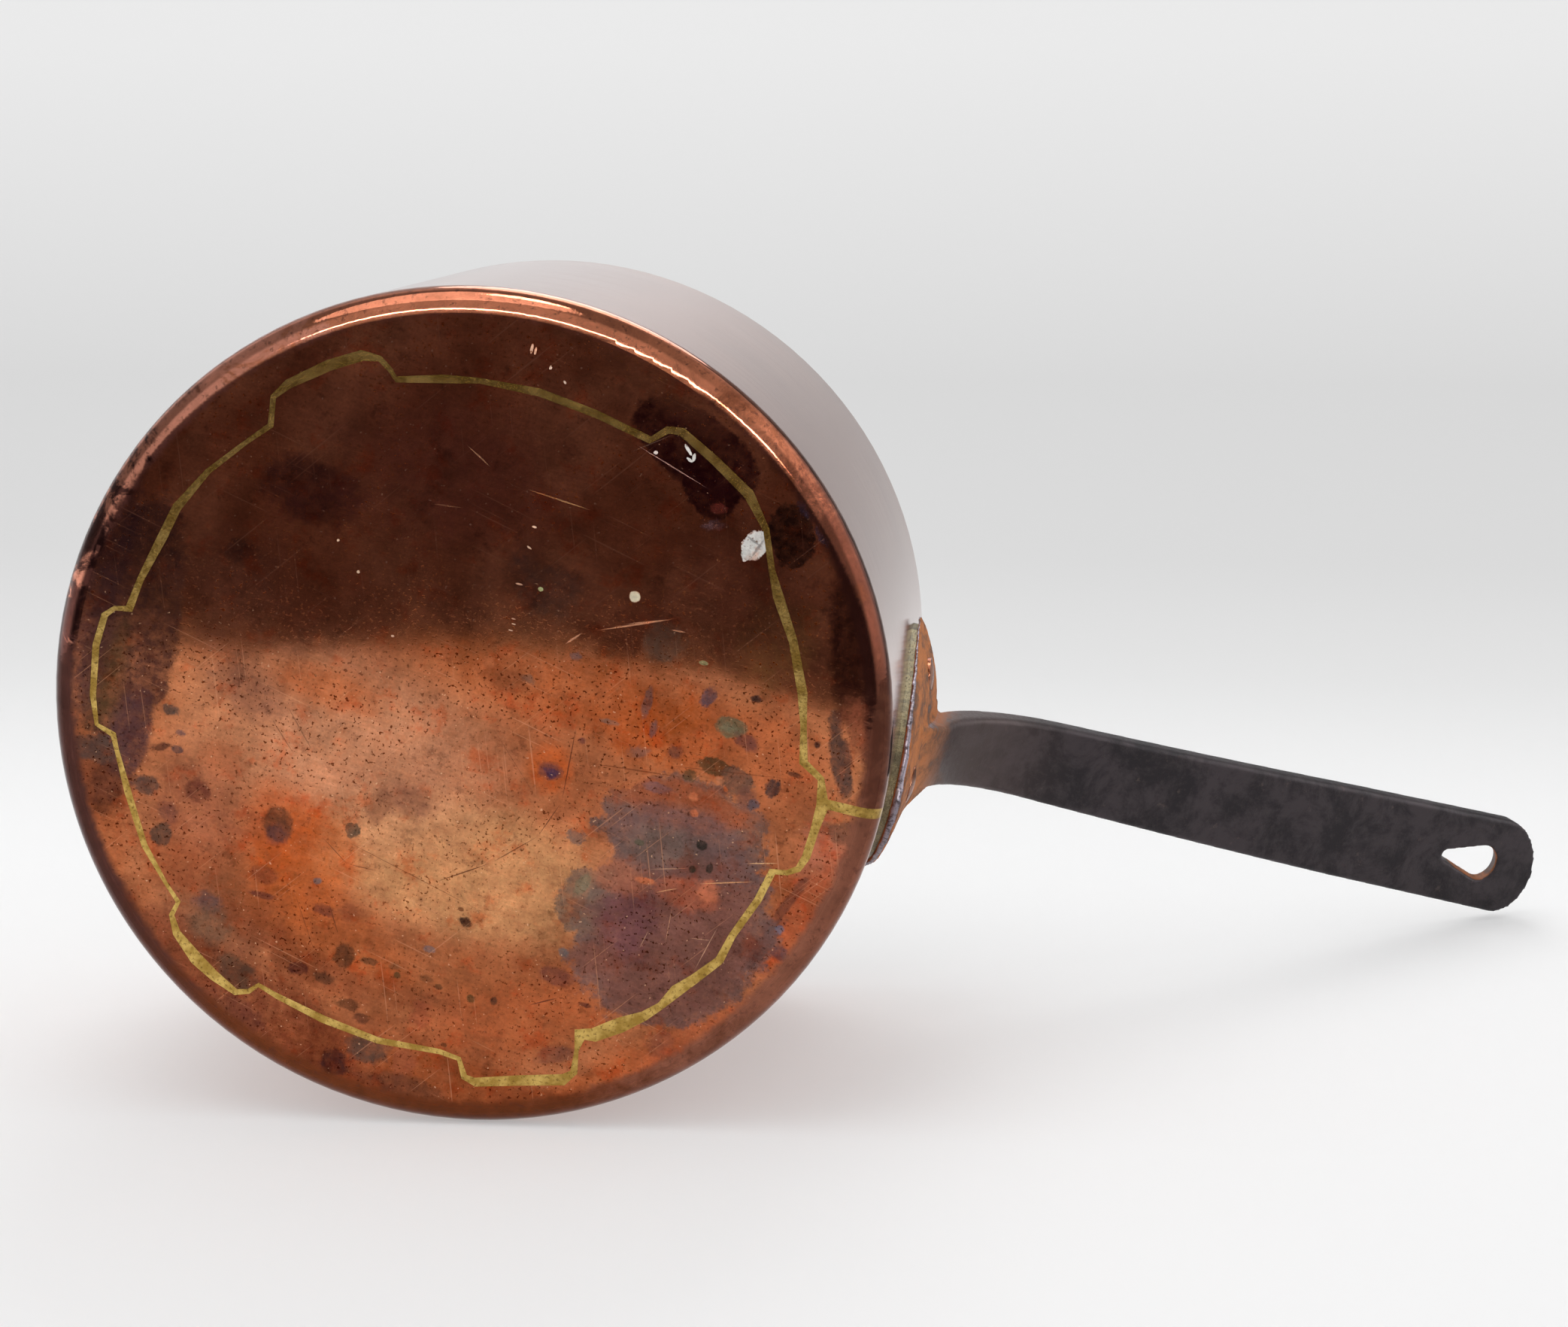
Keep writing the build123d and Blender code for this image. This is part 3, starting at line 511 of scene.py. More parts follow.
# Thin straight scratches: start, end, half width, colour, strength.
SCRATCHES = [
    ((24.8, -27.4), (43.5, -35.4), 0.28, (236, 170, 130), 0.8),
    ((31, -30.6), (41, -34.4), 0.19, (236, 170, 130), 0.7),
    ((42, -32.2), (46, -32.6), 0.25, (236, 170, 130), 0.7),
    ((19, -22.6), (22.4, -26.4), 0.31, (236, 170, 130), 0.8),
    ((23.4, -72.4), (44, -66), 0.19, (222, 176, 160), 0.85),
    ((23, -69.6), (33, -77), 0.15, (160, 130, 110), 0.6),
    ((1.4, -55.8), (19, -54.6), 0.25, (214, 160, 110), 0.8),
    ((-14, -62.4), (-6.8, -58.4), 0.22, (214, 160, 120), 0.8),
    ((-19, -46.8), (-11, -47.8), 0.25, (160, 110, 80), 0.6),
    ((72, 17.2), (80, 15), 0.19, (226, 176, 130), 0.85),
    ((62, 25), (76, 20.6), 0.19, (222, 164, 116), 0.8),
    ((53, 29.6), (58.4, 27), 0.19, (216, 156, 112), 0.8),
    ((50, 24.6), (60, 21.6), 0.15, (190, 150, 120), 0.6),
    ((66.4, 46), (69.6, 33), 0.14, (206, 160, 130), 0.7),
    ((63, 38.2), (69.6, 37.2), 0.12, (206, 160, 130), 0.6),
    ((57.8, 31), (58.4, 42), 0.12, (190, 140, 110), 0.6),
    ((53.8, 38.6), (52.6, 44), 0.15, (196, 150, 120), 0.6),
    ((26, -5), (26.8, 15), 0.19, (96, 50, 36), 0.75),
    ((26.8, 14), (23, 24), 0.17, (96, 50, 36), 0.7),
    ((23.4, 23.4), (13.6, 33), 0.17, (96, 50, 36), 0.7),
    ((14.4, 32.4), (1.6, 41), 0.19, (92, 46, 30), 0.8),
    ((-28, 35), (19, 46), 0.12, (128, 76, 50), 0.6),
    ((-27, 37), (-19, 42.4), 0.15, (116, 66, 46), 0.7),
    ((-19.4, 42), (-12, 41.8), 0.15, (116, 66, 46), 0.7),
    ((6, 0), (22, 16), 0.12, (140, 82, 56), 0.55),
    ((30, 64.4), (37, 60.4), 0.22, (88, 42, 34), 0.8),
    ((47, -0.6), (78, -5.2), 0.12, (110, 60, 40), 0.6),
    ((30, 3.4), (55, 0.8), 0.25, (126, 66, 40), 0.6),
    ((-22, 52), (-17.6, 60), 0.19, (104, 56, 38), 0.7),
    ((-31, 51), (-22, 66), 0.14, (120, 62, 38), 0.6),
    ((-42, 8), (-33, 18), 0.19, (146, 96, 70), 0.6),
    ((-45, 12), (-37, 20), 0.19, (146, 96, 70), 0.6),
]
# The underside's quarters meet at x = 0 and this y. Ovals are turned in steps of this many degrees.
SIDES = [(-1, -1), (1, -1), (-1, 1), (1, 1)]
MIDDLE_Y = -12
FRAME_STEP = 22.5


def stained(s, flat, frames, groups, side, colour, rough, edge, fine, cover):
    """The ground with the stains, scratches and flecks that reach one quarter of the underside."""
    both = s.times_plus(fine, 0.5, edge)

    def reaches(x, y, far):
        return side[0] * x > -far and side[1] * (y - MIDDLE_Y) > -far

    ovals = STAINS + [(*fleck, *FLECK_FINISH) for fleck in FLECKS]
    for x, y, wide, high, turn, tint, share, finish, soft, ragged in ovals:
        share, finish, soft = share / 100, finish / 100, soft / 100
        if not reaches(x, y, max(wide, high) * (1 + soft / 2) + ragged):
            continue
        number, scale, shift = oval_place(x, y, wide, high, turn)
        made = s.node("ShaderNodeGroup", node_tree=groups[0])
        small = max(wide, high) < 3
        soft = min(soft * (1.6 if small else 1.2), 1.2)
        ragged = 2.4 * ragged / math.sqrt(wide * high)
        border = fine if small else both
        covering = 1.0 if finish > 0.7 else cover
        values = (frames[number], border, covering, colour, rough, scale, shift, ragged,
                  1 + soft / 2, 1 - soft / 2, share, srgb(*tint), finish)
        for socket, value in zip(made.inputs, values):
            s.put(socket, value)
        colour, rough = made.outputs[0], made.outputs[1]
    for start, end, width, tint, share in SCRATCHES:
        x, y = (start[0] + end[0]) / 2, (start[1] + end[1]) / 2
        length = math.dist(start, end)
        if reaches(x, y, length / 2):
            made = s.node("ShaderNodeGroup", node_tree=groups[1])
            turn = math.atan2(end[1] - start[1], end[0] - start[0])
            size = (length / 2, width, 1)
            values = (flat, fine, colour, rough, (x, y, 0), (0, 0, turn), size, share, srgb(*tint))
            for socket, value in zip(made.inputs, values):
                s.put(socket, value)
            colour, rough = made.outputs[0], made.outputs[1]
    return colour, rough


def underside(s, place):
    """The ground and stained copper of the base, in four quarters so that each stays quick."""
    flat = s.level(place)
    x, y = s.parts(place)[:2]
    edge = s.times_plus(s.noise(flat, 8, 6, 0.68), 2, -1)
    fine = s.times_plus(s.noise(flat, 2.2, 5, 0.7), 2, -1)
    clouds = s.noise(flat, 34, 4, 0.62, 0.4)
    small = s.noise(flat, 6, 5, 0.7, 0.3)
    rich = s.noise(flat, 13, 8, 0.72)
    warm = s.noise(s.vector("ADD", flat, (70, 20, 0)), 9, 7, 0.72)
    dirt = s.noise(s.vector("ADD", flat, (-40, 90, 0)), 7, 7, 0.74)
    wiped = s.noise(s.vector("MULTIPLY", flat, (0.08, 1.1, 0)), 1.0, 4, 0.65)
    cover = s.line(s.noise(s.vector("ADD", flat, (31, 7, 0)), 2.8, 5, 0.72), 0.36, 0.6, 0.6, 1.0)
    ground = s.mix(s.step(clouds, 0.36, 0.64), srgb(158, 90, 56), srgb(188, 116, 76))
    rough = s.line(clouds, 0.3, 0.7, 0.05, 0.08)

    # The last touches lie over every stain: mottling, specks, fine wipe marks and painted glints.
    mottle = s.step(small, 0.42, 0.64)
    grain = s.noise(flat, 0.7, 2, 0.6)
    value = s.line(rich, 0.3, 0.7, 0.66, 1.46)
    value = s.times(value, s.line(grain, 0.25, 0.75, 0.88, 1.12))
    value = s.times(value, s.line(wiped, 0.3, 0.7, 0.92, 1.08))
    orange = s.times(s.step(warm, 0.52, 0.66), 0.5)
    dirty = s.times(s.step(dirt, 0.55, 0.68), 0.5)
    busy = s.step(s.noise(flat, 26, 2, 0.5), 0.4, 0.6)
    speck = s.step(s.noise(flat, 0.95, 2, 0.6), 0.6, 0.66)
    speck = s.times(speck, s.both(busy, 0.4, 1.0))
    # Painted highlight: pale specks of glint mixed into the colour.
    painted_glint = s.noise(s.vector("ADD", flat, (50, 0, 7)), 0.8, 1, 0.5)
    painted_glint = s.times(s.step(painted_glint, 0.74, 0.78), 0.5)
    threads = []
    long, wide = 26, 0.5
    for turn, shift in ((12, 3.0), (71, 11.0), (128, 23.0)):
        angle = math.radians(turn)
        along = s.dot(flat, (math.cos(angle) / long, math.sin(angle) / long, 0))
        across = s.dot(flat, (-math.sin(angle) / wide, math.cos(angle) / wide, 0))
        thread = s.noise(s.join(along, across, shift), 1.0, 0, 0.5)
        threads.append(s.step(thread, 0.76, 0.84))
    hair = s.larger(threads[0], s.larger(threads[1], threads[2]))
    hair = s.times(hair, 0.28)

    # A shallow unevenness.
    height = s.times(s.noise(flat, 32, 1, 0.4), 0.035)
    height = s.times_plus(s.noise(flat, 4.5, 2, 0.5), 0.003, height)
    height = s.times_plus(grain, 0.0004, height)
    height = s.times_plus(speck, -0.002, height)
    normal = s.bump(height)

    frames = [flat]
    for number in (1, 2, 3):
        angle = math.radians(number * FRAME_STEP)
        across = s.dot(flat, (math.cos(angle), math.sin(angle), 0))
        down = s.dot(flat, (-math.sin(angle), math.cos(angle), 0))
        frames.append(s.join(across, down, 0))
    groups = (stain_group(), scratch_group())
    quarters = []
    for side in SIDES:
        colour, quarter_rough = stained(s, flat, frames, groups, side, ground, rough, edge, fine,
                                        cover)
        metal = s.step(quarter_rough, 0.66, 0.5)
        colour = s.mix(s.times(mottle, 0.14), colour, srgb(120, 66, 50))
        colour = s.mix(orange, colour, s.mix(1.0, colour, srgb(255, 176, 128), "MULTIPLY"))
        colour = s.mix(dirty, colour, s.mix(1.0, colour, srgb(146, 130, 134), "MULTIPLY"))
        colour = s.vector("SCALE", colour, value)
        colour = s.mix(speck, colour, s.mix(1.0, colour, srgb(150, 118, 92), "MULTIPLY"))
        colour = s.mix(painted_glint, colour, srgb(240, 190, 150))
        colour = s.mix(hair, colour, srgb(226, 160, 120))
        quarter_rough = s.times_plus(speck, 0.2, quarter_rough)
        quarters.append(gloss(s, colour, quarter_rough, normal, metal))
    right = s.number("GREATER_THAN", x, 0)
    low = s.number("GREATER_THAN", y, MIDDLE_Y)
    upper = s.blend(right, quarters[0], quarters[1])
    lower = s.blend(right, quarters[2], quarters[3])
    return s.blend(low, upper, lower)


def rounded_edge(s, place, turn, reach):
    """The rounded edge, coloured by the side it faces: painted light on the side towards the lamp."""
    way = s.vector("NORMALIZE", s.level(place))
    beads = s.join(s.times(turn, 46), s.times(reach, 0.3), 0)
    beads = s.noise(beads, 1.0, 2, 0.5)
    clouds = s.noise(place, 9, 6, 0.7, 0.4)
    fine = s.noise(place, 1.4, 4, 0.66)

    def towards(degrees, low, high):
        share = facing(s, way, degrees)
        uneven = s.number("SUBTRACT", clouds, 0.5)
        return s.step(s.times_plus(uneven, 0.8, share), low, high)

    # Colour by the side the edge faces: pinker towards 8 degrees, darker towards 180 and -32 degrees.
    colour = s.mix(towards(180, 0.3, 0.8), srgb(118, 62, 36), srgb(82, 50, 44))
    colour = s.mix(towards(8, 0.5, 0.9), colour, srgb(146, 92, 72))
    colour = s.mix(towards(-32, 0.8, 0.97), colour, srgb(104, 60, 46))
    # Painted light: lighter towards -102 and -148 degrees, the side up the table towards the lamp.
    colour = s.mix(towards(-102, 0.5, 0.85), colour, srgb(182, 112, 84))
    colour = s.mix(towards(-148, 0.9, 0.98), colour, srgb(186, 122, 100))
    colour = s.vector("SCALE", colour, s.line(clouds, 0.3, 0.7, 0.72, 1.2))
    colour = s.mix(s.times(s.step(fine, 0.54, 0.7), 0.6), colour, srgb(96, 56, 46))
    rough = s.line(fine, 0.3, 0.7, 0.035, 0.13)
    height = s.times_plus(beads, 0.03, s.times(fine, 0.004))
    return gloss(s, colour, rough, s.bump(height))


def wall_surface(s, place, turn, z):
    """The wall: polished round and round, with a thin uneven tarnish."""
    around = s.join(s.times(turn, 2.2), s.times(z, 0.9), 0)
    rubbed = s.noise(around, 1.0, 4, 0.6)
    haze = s.noise(place, 42, 3, 0.55, 0.5)
    wall = s.mix(s.step(haze, 0.35, 0.68), srgb(186, 114, 82), srgb(202, 130, 98))
    wall = s.mix(s.times(s.step(rubbed, 0.5, 0.8), 0.35), wall, srgb(166, 96, 68))
    grime = s.step(s.noise(place, 3.2, 4, 0.65), 0.62, 0.75)
    wall = s.mix(s.times(grime, 0.35), wall, srgb(120, 66, 46))
    rough = s.line(rubbed, 0.3, 0.8, 0.09, 0.2)
    height = s.number("ADD", s.times(rubbed, 0.0012),
                      s.times(s.noise(place, 26, 2, 0.5), 0.03))
    film = {"coat_weight": 0.7, "coat_roughness": 0.12, "coat_ior": 1.6}
    return gloss(s, wall, rough, s.bump(height), **film)


def copper_finish():
    """Old copper: ground and stained underneath, its edge with painted light, rubbed round the wall.
    """
    material, s = new_finish("copper")
    place = s.place()
    x, y, z = s.parts(place)
    reach = s.vector("LENGTH", s.level(place), out="Value")
    turn = s.number("ARCTAN2", y, x)
    under = underside(s, place)
    edge = rounded_edge(s, place, turn, reach)
    side = wall_surface(s, place, turn, z)
    ragged = s.noise(place, 3.5, 3, 0.6)
    at_edge = s.step(s.times_plus(ragged, RAGGED, reach), *EDGE_BEGINS)
    rounded = s.blend(at_edge, under, edge)
    upwards = s.step(s.times_plus(ragged, RAGGED, z), *WALL_BEGINS)
    output(s, s.blend(upwards, rounded, side))
    return material


# ---- Brass -----------------------------------------------------------------------------------------
def brass_finish():
    """The brass that the seams are brazed with, dull and grainy."""
    material, s = new_finish("brass")
    place = s.place()
    clouds = s.noise(place, 5, 3, 0.6)
    grains = s.noise(place, 0.8, 3, 0.6)
    colour = s.mix(s.step(clouds, 0.35, 0.68), srgb(164, 130, 60), srgb(218, 184, 104))
    colour = s.mix(s.times(s.step(grains, 0.54, 0.66), 0.7), colour, srgb(126, 92, 46))
    rough = s.line(grains, 0.3, 0.7, 0.12, 0.26)
    height = s.number("ADD", s.times(grains, 0.012), s.times(clouds, 0.03))
    output(s, gloss(s, colour, rough, s.bump(height)))
    return material


def packing_finish():
    """The soft brass packed between palm and wall: grey-green with age, and split along its edge."""
    material, s = new_finish("packing_brass")
    place = s.place()
    clouds = s.noise(place, 4, 4, 0.65)
    layers = s.noise(s.vector("MULTIPLY", place, (3.0, 3.0, 0.12)), 1.0, 3, 0.6)
    colour = s.mix(s.step(clouds, 0.35, 0.66), srgb(110, 103, 82), srgb(160, 150, 116))
    colour = s.mix(s.times(s.step(layers, 0.5, 0.68), 0.7), colour, srgb(72, 62, 46))
    rough = s.line(clouds, 0.3, 0.7, 0.3, 0.5)
    height = s.times_plus(layers, 0.2, s.times(clouds, 0.08))
    output(s, gloss(s, colour, rough, s.bump(height)))
    return material


# ---- Tin -------------------------------------------------------------------------------------------
def tin_finish():
    """Wiped tin: grey, soft, with wipe marks and old cooking stains."""
    material, s = new_finish("tin")
    place = s.place()
    x, y, z = s.parts(place)
    turn = s.number("ARCTAN2", y, x)
    swirl = s.join(s.times(turn, 3.0), s.times(z, 0.25), 0)
    wipe = s.noise(swirl, 1.0, 4, 0.6)
    clouds = s.noise(place, 22, 4, 0.6, 0.4)
    colour = s.mix(s.step(clouds, 0.35, 0.66), srgb(212, 206, 200), srgb(232, 228, 223))
    colour = s.mix(s.times(s.step(wipe, 0.5, 0.75), 0.4), colour, srgb(190, 184, 178))
    spots = s.step(s.noise(place, 2.4, 3, 0.6), 0.66, 0.76)
    colour = s.mix(s.times(spots, 0.5), colour, srgb(104, 96, 90))
    rough = s.line(clouds, 0.3, 0.7, 0.26, 0.38)
    height = s.number("ADD", s.times(wipe, 0.01), s.times(clouds, 0.02))
    output(s, gloss(s, colour, rough, s.bump(height)))
    return material


def rivet_finish():
    """Copper rivets: rusty and browned outside, wiped with tin inside."""
    material, s = new_finish("copper_rivet")
    place = s.place()
    x = s.parts(place)[0]
    clouds = s.noise(place, 3, 3, 0.6)
    colour = s.mix(s.step(clouds, 0.35, 0.68), srgb(128, 72, 48), srgb(190, 130, 100))
    copper = gloss(s, colour, s.line(clouds, 0.3, 0.7, 0.24, 0.36), s.bump(clouds, 0.05))
    grey = s.mix(s.step(clouds, 0.35, 0.68), srgb(150, 146, 142), srgb(192, 190, 186))
    tinned = gloss(s, grey, 0.34, s.bump(clouds, 0.06))
    outside = s.step(x, *RIVET_OUTSIDE)
    output(s, s.blend(outside, tinned, copper))
    return material


# ---- Iron ------------------------------------------------------------------------------------------
def iron_finish():
    """Forged iron: a dark skin, orange rust on the palm, the palm's rim rubbed to bare metal."""
    material, s = new_finish("iron")
    place = s.place()
    x = s.parts(place)[0]
    normal = s.node("ShaderNodeNewGeometry").outputs["Normal"]
    clouds = s.noise(place, 13, 6, 0.7, 0.3)
    grain = s.noise(place, 1.3, 5, 0.68)
    pits = s.step(s.noise(place, 2.8, 4, 0.66), 0.56, 0.7)
    skin = s.mix(s.step(clouds, 0.4, 0.6), srgb(36, 31, 34), srgb(63, 55, 58))
    skin = s.mix(s.times(s.step(grain, 0.5, 0.68), 0.4), skin, srgb(70, 60, 60))
    flecks = s.step(s.noise(s.vector("ADD", place, (9, 40, 3)), 5.5, 5, 0.7), 0.62, 0.72)
    skin = s.mix(s.times(flecks, 0.45), skin, srgb(104, 84, 80))
    neck = s.step(x, 150, 112)
    skin = s.mix(s.times(neck, 0.4), skin, srgb(112, 92, 86))
    rough = s.line(grain, 0.3, 0.7, 0.32, 0.5)

    out = s.vector("NORMALIZE", s.level(place))
    outward = s.number("ABSOLUTE", s.dot(normal, out))
    rust_clouds = s.noise(s.vector("MULTIPLY", place, (1, 1, 0.4)), 6, 6, 0.7, 0.2)
    rust = s.mix(s.step(rust_clouds, 0.36, 0.6), srgb(104, 62, 34), srgb(188, 108, 40))
    rust = s.mix(s.times(s.step(grain, 0.54, 0.68), 0.35), rust, srgb(200, 140, 84))
    ragged = s.times_plus(rust_clouds, 14, x)
    patchy = s.times(s.step(ragged, 120, 113), s.step(rust_clouds, 0.3, 0.42, 0.25, 1.0))
    bar_side = s.number("ABSOLUTE", s.dot(normal, BAR_FACE))
    from_hole = s.vector("DISTANCE", place, HOLE_MIDDLE, out="Value")
    hole = s.times(s.step(from_hole, 13, 11), s.step(bar_side, 0.6, 0.35))
    rusty = s.larger(patchy, s.times(hole, 0.75))
    bare = s.times(s.step(outward, 0.72, 0.5), s.step(x, 108, 104.5))
    colour = s.mix(rusty, skin, rust)
    rim = s.mix(s.step(grain, 0.45, 0.62), srgb(156, 148, 158), srgb(92, 80, 84))
    colour = s.mix(bare, colour, rim)
    rough = s.both(bare, s.both(rusty, rough, 0.7), 0.36)
    metal = s.both(bare, s.both(rusty, 0.5, 0.05), 0.85)
    height = s.number("ADD", s.times(grain, 0.04), s.times(clouds, 0.12))
    height = s.number("SUBTRACT", height, s.times(pits, 0.025))
    output(s, gloss(s, colour, rough, s.bump(height), metal))
    return material


# ---- Handle --------------------------------------------------------------------------------------
def forged_handle(material):
    """The iron handle in the place of its CAD node, with its edges softened by wear."""
    source = NODES["handle"]
    mesh = source.data.copy()
    mesh.name = "handle_forged"
    handle = bpy.data.objects.new("handle_forged", mesh)
    bpy.context.scene.collection.objects.link(handle)
    handle.matrix_world = Matrix.Identity(4)
    bpy.context.view_layer.objects.active = handle
    remesh = handle.modifiers.new("even", "REMESH")
    remesh.mode = "VOXEL"
    remesh.voxel_size = WORN_VOXEL * MM
    smooth = handle.modifiers.new("worn", "SMOOTH")
    smooth.factor = WORN_FACTOR
    smooth.iterations = WORN_PASSES
    graph = bpy.context.evaluated_depsgraph_get()
    finished = bpy.data.meshes.new_from_object(handle.evaluated_get(graph))
    handle.modifiers.clear()
    handle.data = finished
    finished.name = "handle_forged"
    for face in finished.polygons:
        face.use_smooth = True
    finished.materials.clear()
    finished.materials.append(material)
    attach(handle, "root")
    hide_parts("handle")
    return handle


# ---- Stage -----------------------------------------------------------------------------------------
def table_mesh():
    """The table that the pan lies on: flat, then swept up into the backdrop."""
    mesh = bpy.data.meshes.new("studio_table")
    points = []
    faces = []
    profile = [(TABLE_FLAT_END, 0.0)]
    for index in range(1, SWEEP_STEPS + 1):
        angle = math.radians(90 * index / SWEEP_STEPS)
        back = TABLE_FLAT_END + SWEEP_RADIUS * math.sin(angle)
        profile.append((back, SWEEP_RADIUS * (1 - math.cos(angle))))
    profile.append((TABLE_FLAT_END + SWEEP_RADIUS, SWEEP_TOP))
    profile = [(row, 0.0) for row in TABLE_ROWS] + profile
    for across, front in TABLE_FRONT_EDGE:
        stretch = 1 + 1.5 * max(0, abs(across) - 1)
        for z, rise in [(front, 0.0)] + profile:
            point = TABLE_ACROSS * across * stretch + TABLE_UP * (rise - TABLE_BELOW_AXIS)
            points.append((point.x, point.y, z))
    count = len(profile) + 1
    for column in range(len(TABLE_FRONT_EDGE) - 1):
        for row in range(count - 1):
            first = column * count + row
            faces.append((first, first + count, first + count + 1, first + 1))
    mesh.from_pydata(points, [], faces)
    mesh.update()
    for face in mesh.polygons:
        face.use_smooth = True
    return mesh


def under_floor(s, path):
    """1 for a ray that has come up through every layer of the floor."""
    return s.number("GREATER_THAN", path.outputs["Transparent Depth"], FLOOR_LAYERS - 0.5)


def table_finish():
    """Pale paper, with painted shade and a glow, that shows its upper side only.

    The part before the base is there for every ray. The part beside the pan and behind it is there
    only for rays that have come up through the floor.
    """
    material, s = new_finish("studio_table")
    place = s.place()
    z = s.parts(place)[2]
    path = s.node("ShaderNodeLightPath")
    glossy = path.outputs["Is Glossy Ray"]
    side = s.node("ShaderNodeNewGeometry")
    front = s.number("SUBTRACT", 1, side.outputs["Backfacing"])
    before = s.number("LESS_THAN", z, FLOOR_TOP)
    through = under_floor(s, path)
    seen = s.times(path.outputs["Is Camera Ray"], s.larger(before, through))
    flat = s.number("LESS_THAN", z, TABLE_FLAT_END / MM)
    flat_part = s.times(path.outputs["Is Diffuse Ray"], flat)
    bounced = s.larger(glossy, flat_part)
    mirrored = s.times(bounced, s.larger(before, through))
    shown = s.times(front, s.larger(seen, mirrored))

    # How far back a point is: along the flat part, and then up the sweep.
    away = s.times_plus(s.dot(place, TABLE_UP), 0.8, z)
    # The paper's grey and glow fall off further back and rise up the sweep: painted shade and light.
    tones = [(far, srgb(grey, grey, grey)[0]) for far, grey in PAPER_TONES]
    shade = s.shades(away, PAPER_FROM, PAPER_TO, PAPER_GREYS)
    tone = s.shades(away, PAPER_FROM, PAPER_TO, tones)
    across = s.dot(place, TABLE_ACROSS)
    # Painted shade: greyer to the right and further back, and darker still to the right where metal
    # mirrors it.
    dimmer = s.times(s.step(across, -250, 650), s.step(away, 200, 1300))
    aside = s.times(s.step(across, -100, 400), glossy)
    level = s.times_plus(aside, -0.38, s.times_plus(dimmer, -0.2, 1))
    lit = s.node("ShaderNodeBsdfDiffuse", {"Color": s.vector("SCALE", shade, level)})
    strength = s.times_plus(aside, -0.38, 1)
    glow = s.node("ShaderNodeEmission", {"Color": tone, "Strength": strength})
    # Painted light: part of the paper's colour is a glow, 40% near the pan, which pales the pan's
    # shadow, up to 95% far off; metal near the pan mirrors up to 45% of it.
    mirror_share = s.times(glossy, s.step(away, 500, 150, 0.0, 0.45))
    seen_share = s.times(seen, s.step(away, 60, 650, 0.4, 0.95))
    share = s.larger(seen_share, mirror_share)
    paper = s.blend(share, lit.outputs[0], glow.outputs[0])
    clear = s.node("ShaderNodeBsdfTransparent")
    output(s, s.blend(shown, clear.outputs[0], paper))
    return material


def studio_bands(s, way):
    """Where polished metal mirrors the studio's soft boxes and its dark flags, by direction."""
    level = s.vector("NORMALIZE", s.level(way))

    def towards(degrees, low, high):
        return s.step(facing(s, level, degrees), low, high)

    flags = s.larger(towards(50, 0.45, 0.95), towards(-115, 0.5, 0.95))
    flags = s.larger(flags, towards(186, 0.88, 0.99))
    boxes = s.larger(towards(-35, 0.87, 0.96), towards(150, 0.9, 0.96))
    return boxes, flags


def floor_finish():
    """The floor under the upright pan: pale, seen from above only, and clear far off.

    Where metal mirrors it, it carries on the studio's bands of light and shade.
    """
    material, s = new_finish("studio_floor")
    place = s.place()
    height = s.parts(place)[2]
    reach = s.vector("LENGTH", s.level(place), out="Value")
    side = s.node("ShaderNodeNewGeometry")
    path = s.node("ShaderNodeLightPath")
    front = s.number("SUBTRACT", 1, side.outputs["Backfacing"])
    near = s.step(reach, 2600, 900)
    near = s.times(near, s.number("GREATER_THAN", height, FLOOR_TOP - LAYER_GAP / 2))
    beside = s.times(under_floor(s, path), s.number("SUBTRACT", 1, path.outputs["Is Camera Ray"]))
    hidden = s.larger(path.outputs["Is Shadow Ray"], beside)
    shown = s.times(s.times(front, near), s.number("SUBTRACT", 1, hidden))
    boxes, flags = studio_bands(s, place)
    mirrored = s.times(path.outputs["Is Glossy Ray"], s.step(reach, 115, 190))
    dimmed = s.times_plus(s.times(flags, mirrored), -0.62, 1)
    lit = s.node("ShaderNodeBsdfDiffuse", {"Color": s.vector("SCALE", (0.86, 0.86, 0.87), dimmed)})
    glow = s.node("ShaderNodeEmission", {"Strength": s.times(boxes, mirrored)})
    lit = s.node("ShaderNodeAddShader", {0: lit.outputs[0], 1: glow.outputs[0]})
    clear = s.node("ShaderNodeBsdfTransparent")
    output(s, s.blend(shown, clear.outputs[0], lit.outputs[0]))
    return material


def build_stage():
    """The table and the floor, both one-sided. They are stage and not part of the pan."""
    scene = bpy.context.scene
    table = bpy.data.objects.new("studio_table", table_mesh())
    scene.collection.objects.link(table)
    table.data.materials.append(table_finish())
    disc = bmesh.new()
    for layer in range(FLOOR_LAYERS):
        height = Matrix.Translation((0, 0, LAYER_GAP * MM * (layer + 1)))
        radius = FLOOR_RADIUS * MM
        bmesh.ops.create_circle(disc, cap_ends=True, segments=96, radius=radius, matrix=height)
    mesh = bpy.data.meshes.new("studio_floor")
    disc.to_mesh(mesh)
    disc.free()
    floor = bpy.data.objects.new("studio_floor", mesh)
    scene.collection.objects.link(floor)
    mesh.materials.append(floor_finish())
    if mesh.polygons[0].normal.z < 0:
        mesh.flip_normals()


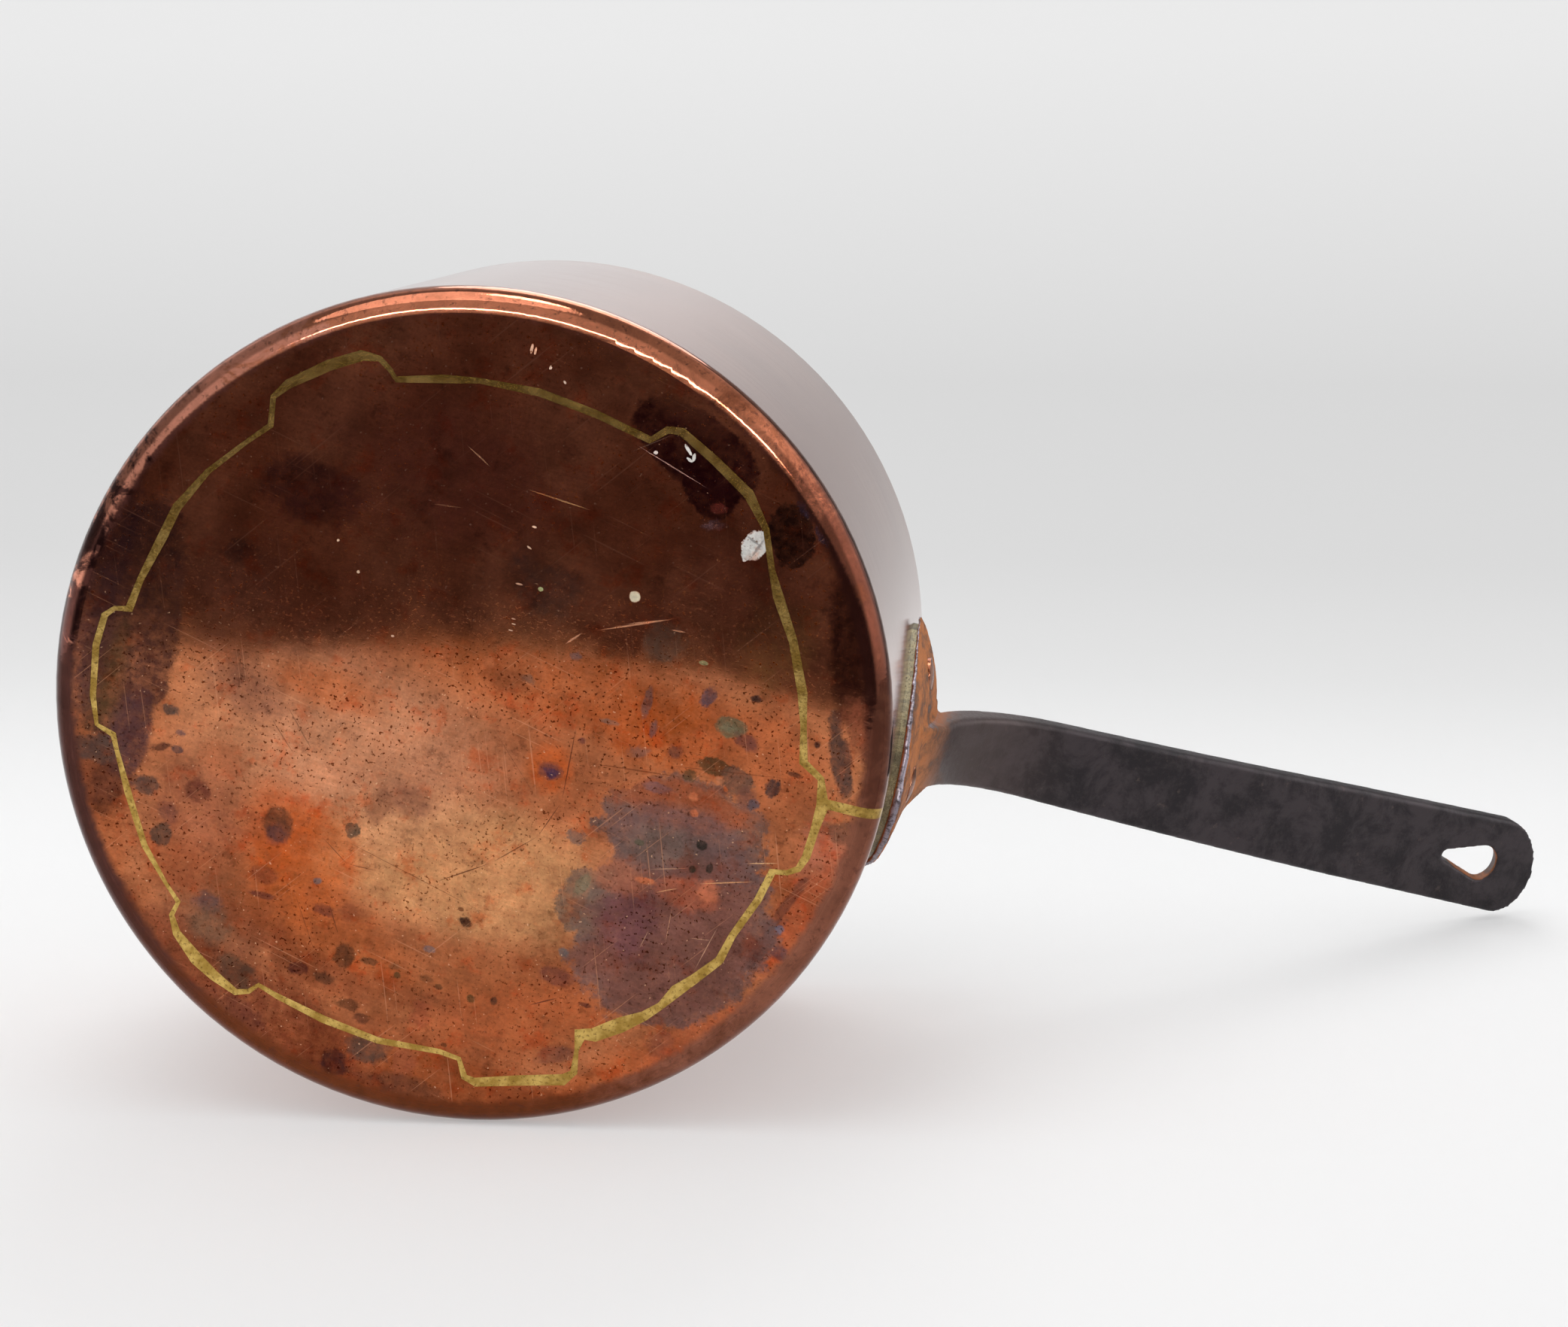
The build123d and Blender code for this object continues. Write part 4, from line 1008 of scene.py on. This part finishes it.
def build_world():
    """The studio's light, the same from everywhere: even and pale, with a dark room under the base.

    Metal also mirrors a window in that room, a strip of light over the table, and soft boxes and
    flags round about. The camera sees the plain studio.
    """
    world = bpy.data.worlds.new("studio")
    world.use_nodes = True
    bpy.context.scene.world = world
    s = Sheet(world.node_tree)
    way = s.node("ShaderNodeTexCoord").outputs["Generated"]
    z = s.parts(way)[2]
    path = s.node("ShaderNodeLightPath")
    glossy = path.outputs["Is Glossy Ray"]
    up = s.dot(way, TABLE_UP)
    below = s.step(s.times(z, -1), 0.5, 0.72)
    room = s.times(below, s.step(up, 0.16, 0.06))
    light = s.mix(room, STUDIO_LIGHT, ROOM_LIGHT)
    across = s.number("ABSOLUTE", s.dot(way, TABLE_ACROSS))
    from_window = s.number("ABSOLUTE", s.number("SUBTRACT", up, 0.27))
    window = s.times(s.step(from_window, 0.034, 0.018), s.times(below, s.step(across, 0.4, 0.3)))
    window = s.times(window, glossy)
    light = s.mix(window, light, WINDOW_LIGHT)
    boxes, flags = studio_bands(s, way)
    level = s.step(s.number("ABSOLUTE", z), 0.6, 0.35)
    level = s.times(level, glossy)
    light = s.mix(s.times(level, flags), light, FLAG_LIGHT)
    light = s.mix(s.times(level, boxes), light, BOX_LIGHT)
    strip = s.times(s.step(up, 0.991, 0.996), glossy)
    light = s.mix(strip, light, STRIP_LIGHT)
    colour = s.mix(path.outputs["Is Camera Ray"], light, STUDIO_LIGHT)
    lamp = s.node("ShaderNodeBackground", {"Color": colour, "Strength": 1.0})
    s.node("ShaderNodeOutputWorld", {"Surface": lamp.outputs[0]})


def area_lamp(name, place, aim, size, power):
    """A round soft lamp, aimed at a point: size in m, power in W."""
    data = bpy.data.lights.new(name, "AREA")
    data.shape = "DISK"
    data.size = size
    data.energy = power
    lamp = bpy.data.objects.new(name, data)
    lamp.location = place
    lamp.rotation_euler = (Vector(aim) - Vector(place)).to_track_quat("-Z", "Y").to_euler()
    bpy.context.scene.collection.objects.link(lamp)
    return lamp


def build_lamps():
    pan_middle = (0.05, 0, 0.05)
    above = TABLE_UP * 1.3 + Vector((-0.3, 0, -0.25))
    area_lamp("lamp_over_table", above, pan_middle, size=1.1, power=5)
    area_lamp("lamp_over_floor", (-0.15, -1.0, 1.1), pan_middle, size=0.9, power=5)


def build_camera():
    data = bpy.data.cameras.new("photo_view")
    data.sensor_fit = "HORIZONTAL"
    data.sensor_width = SENSOR_WIDTH
    data.lens = CAMERA_LENS
    data.clip_start = 0.01
    data.clip_end = 50
    camera = bpy.data.objects.new("photo_view", data)
    turn = Matrix((CAMERA_RIGHT, CAMERA_UP, CAMERA_BACK)).transposed()
    camera.matrix_world = Matrix.Translation(CAMERA_PLACE) @ turn.to_4x4()
    bpy.context.scene.collection.objects.link(camera)
    bpy.context.scene.camera = camera


def give(node, material):
    node.data.materials.clear()
    node.data.materials.append(material)


build_camera()
build_stage()
build_world()
build_lamps()
scene = bpy.context.scene
scene.view_settings.view_transform = "Standard"

copper = copper_finish()
brass = brass_finish()
give(NODES["base_disc"], copper)
give(NODES["body_wall"], copper)
give(NODES["base_seam_braze"], brass)
give(NODES["side_seam_braze"], brass)
give(NODES["packing_plate"], packing_finish())
give(NODES["tin_lining"], tin_finish())
give(NODES["rivets"], rivet_finish())
forged_handle(iron_finish())
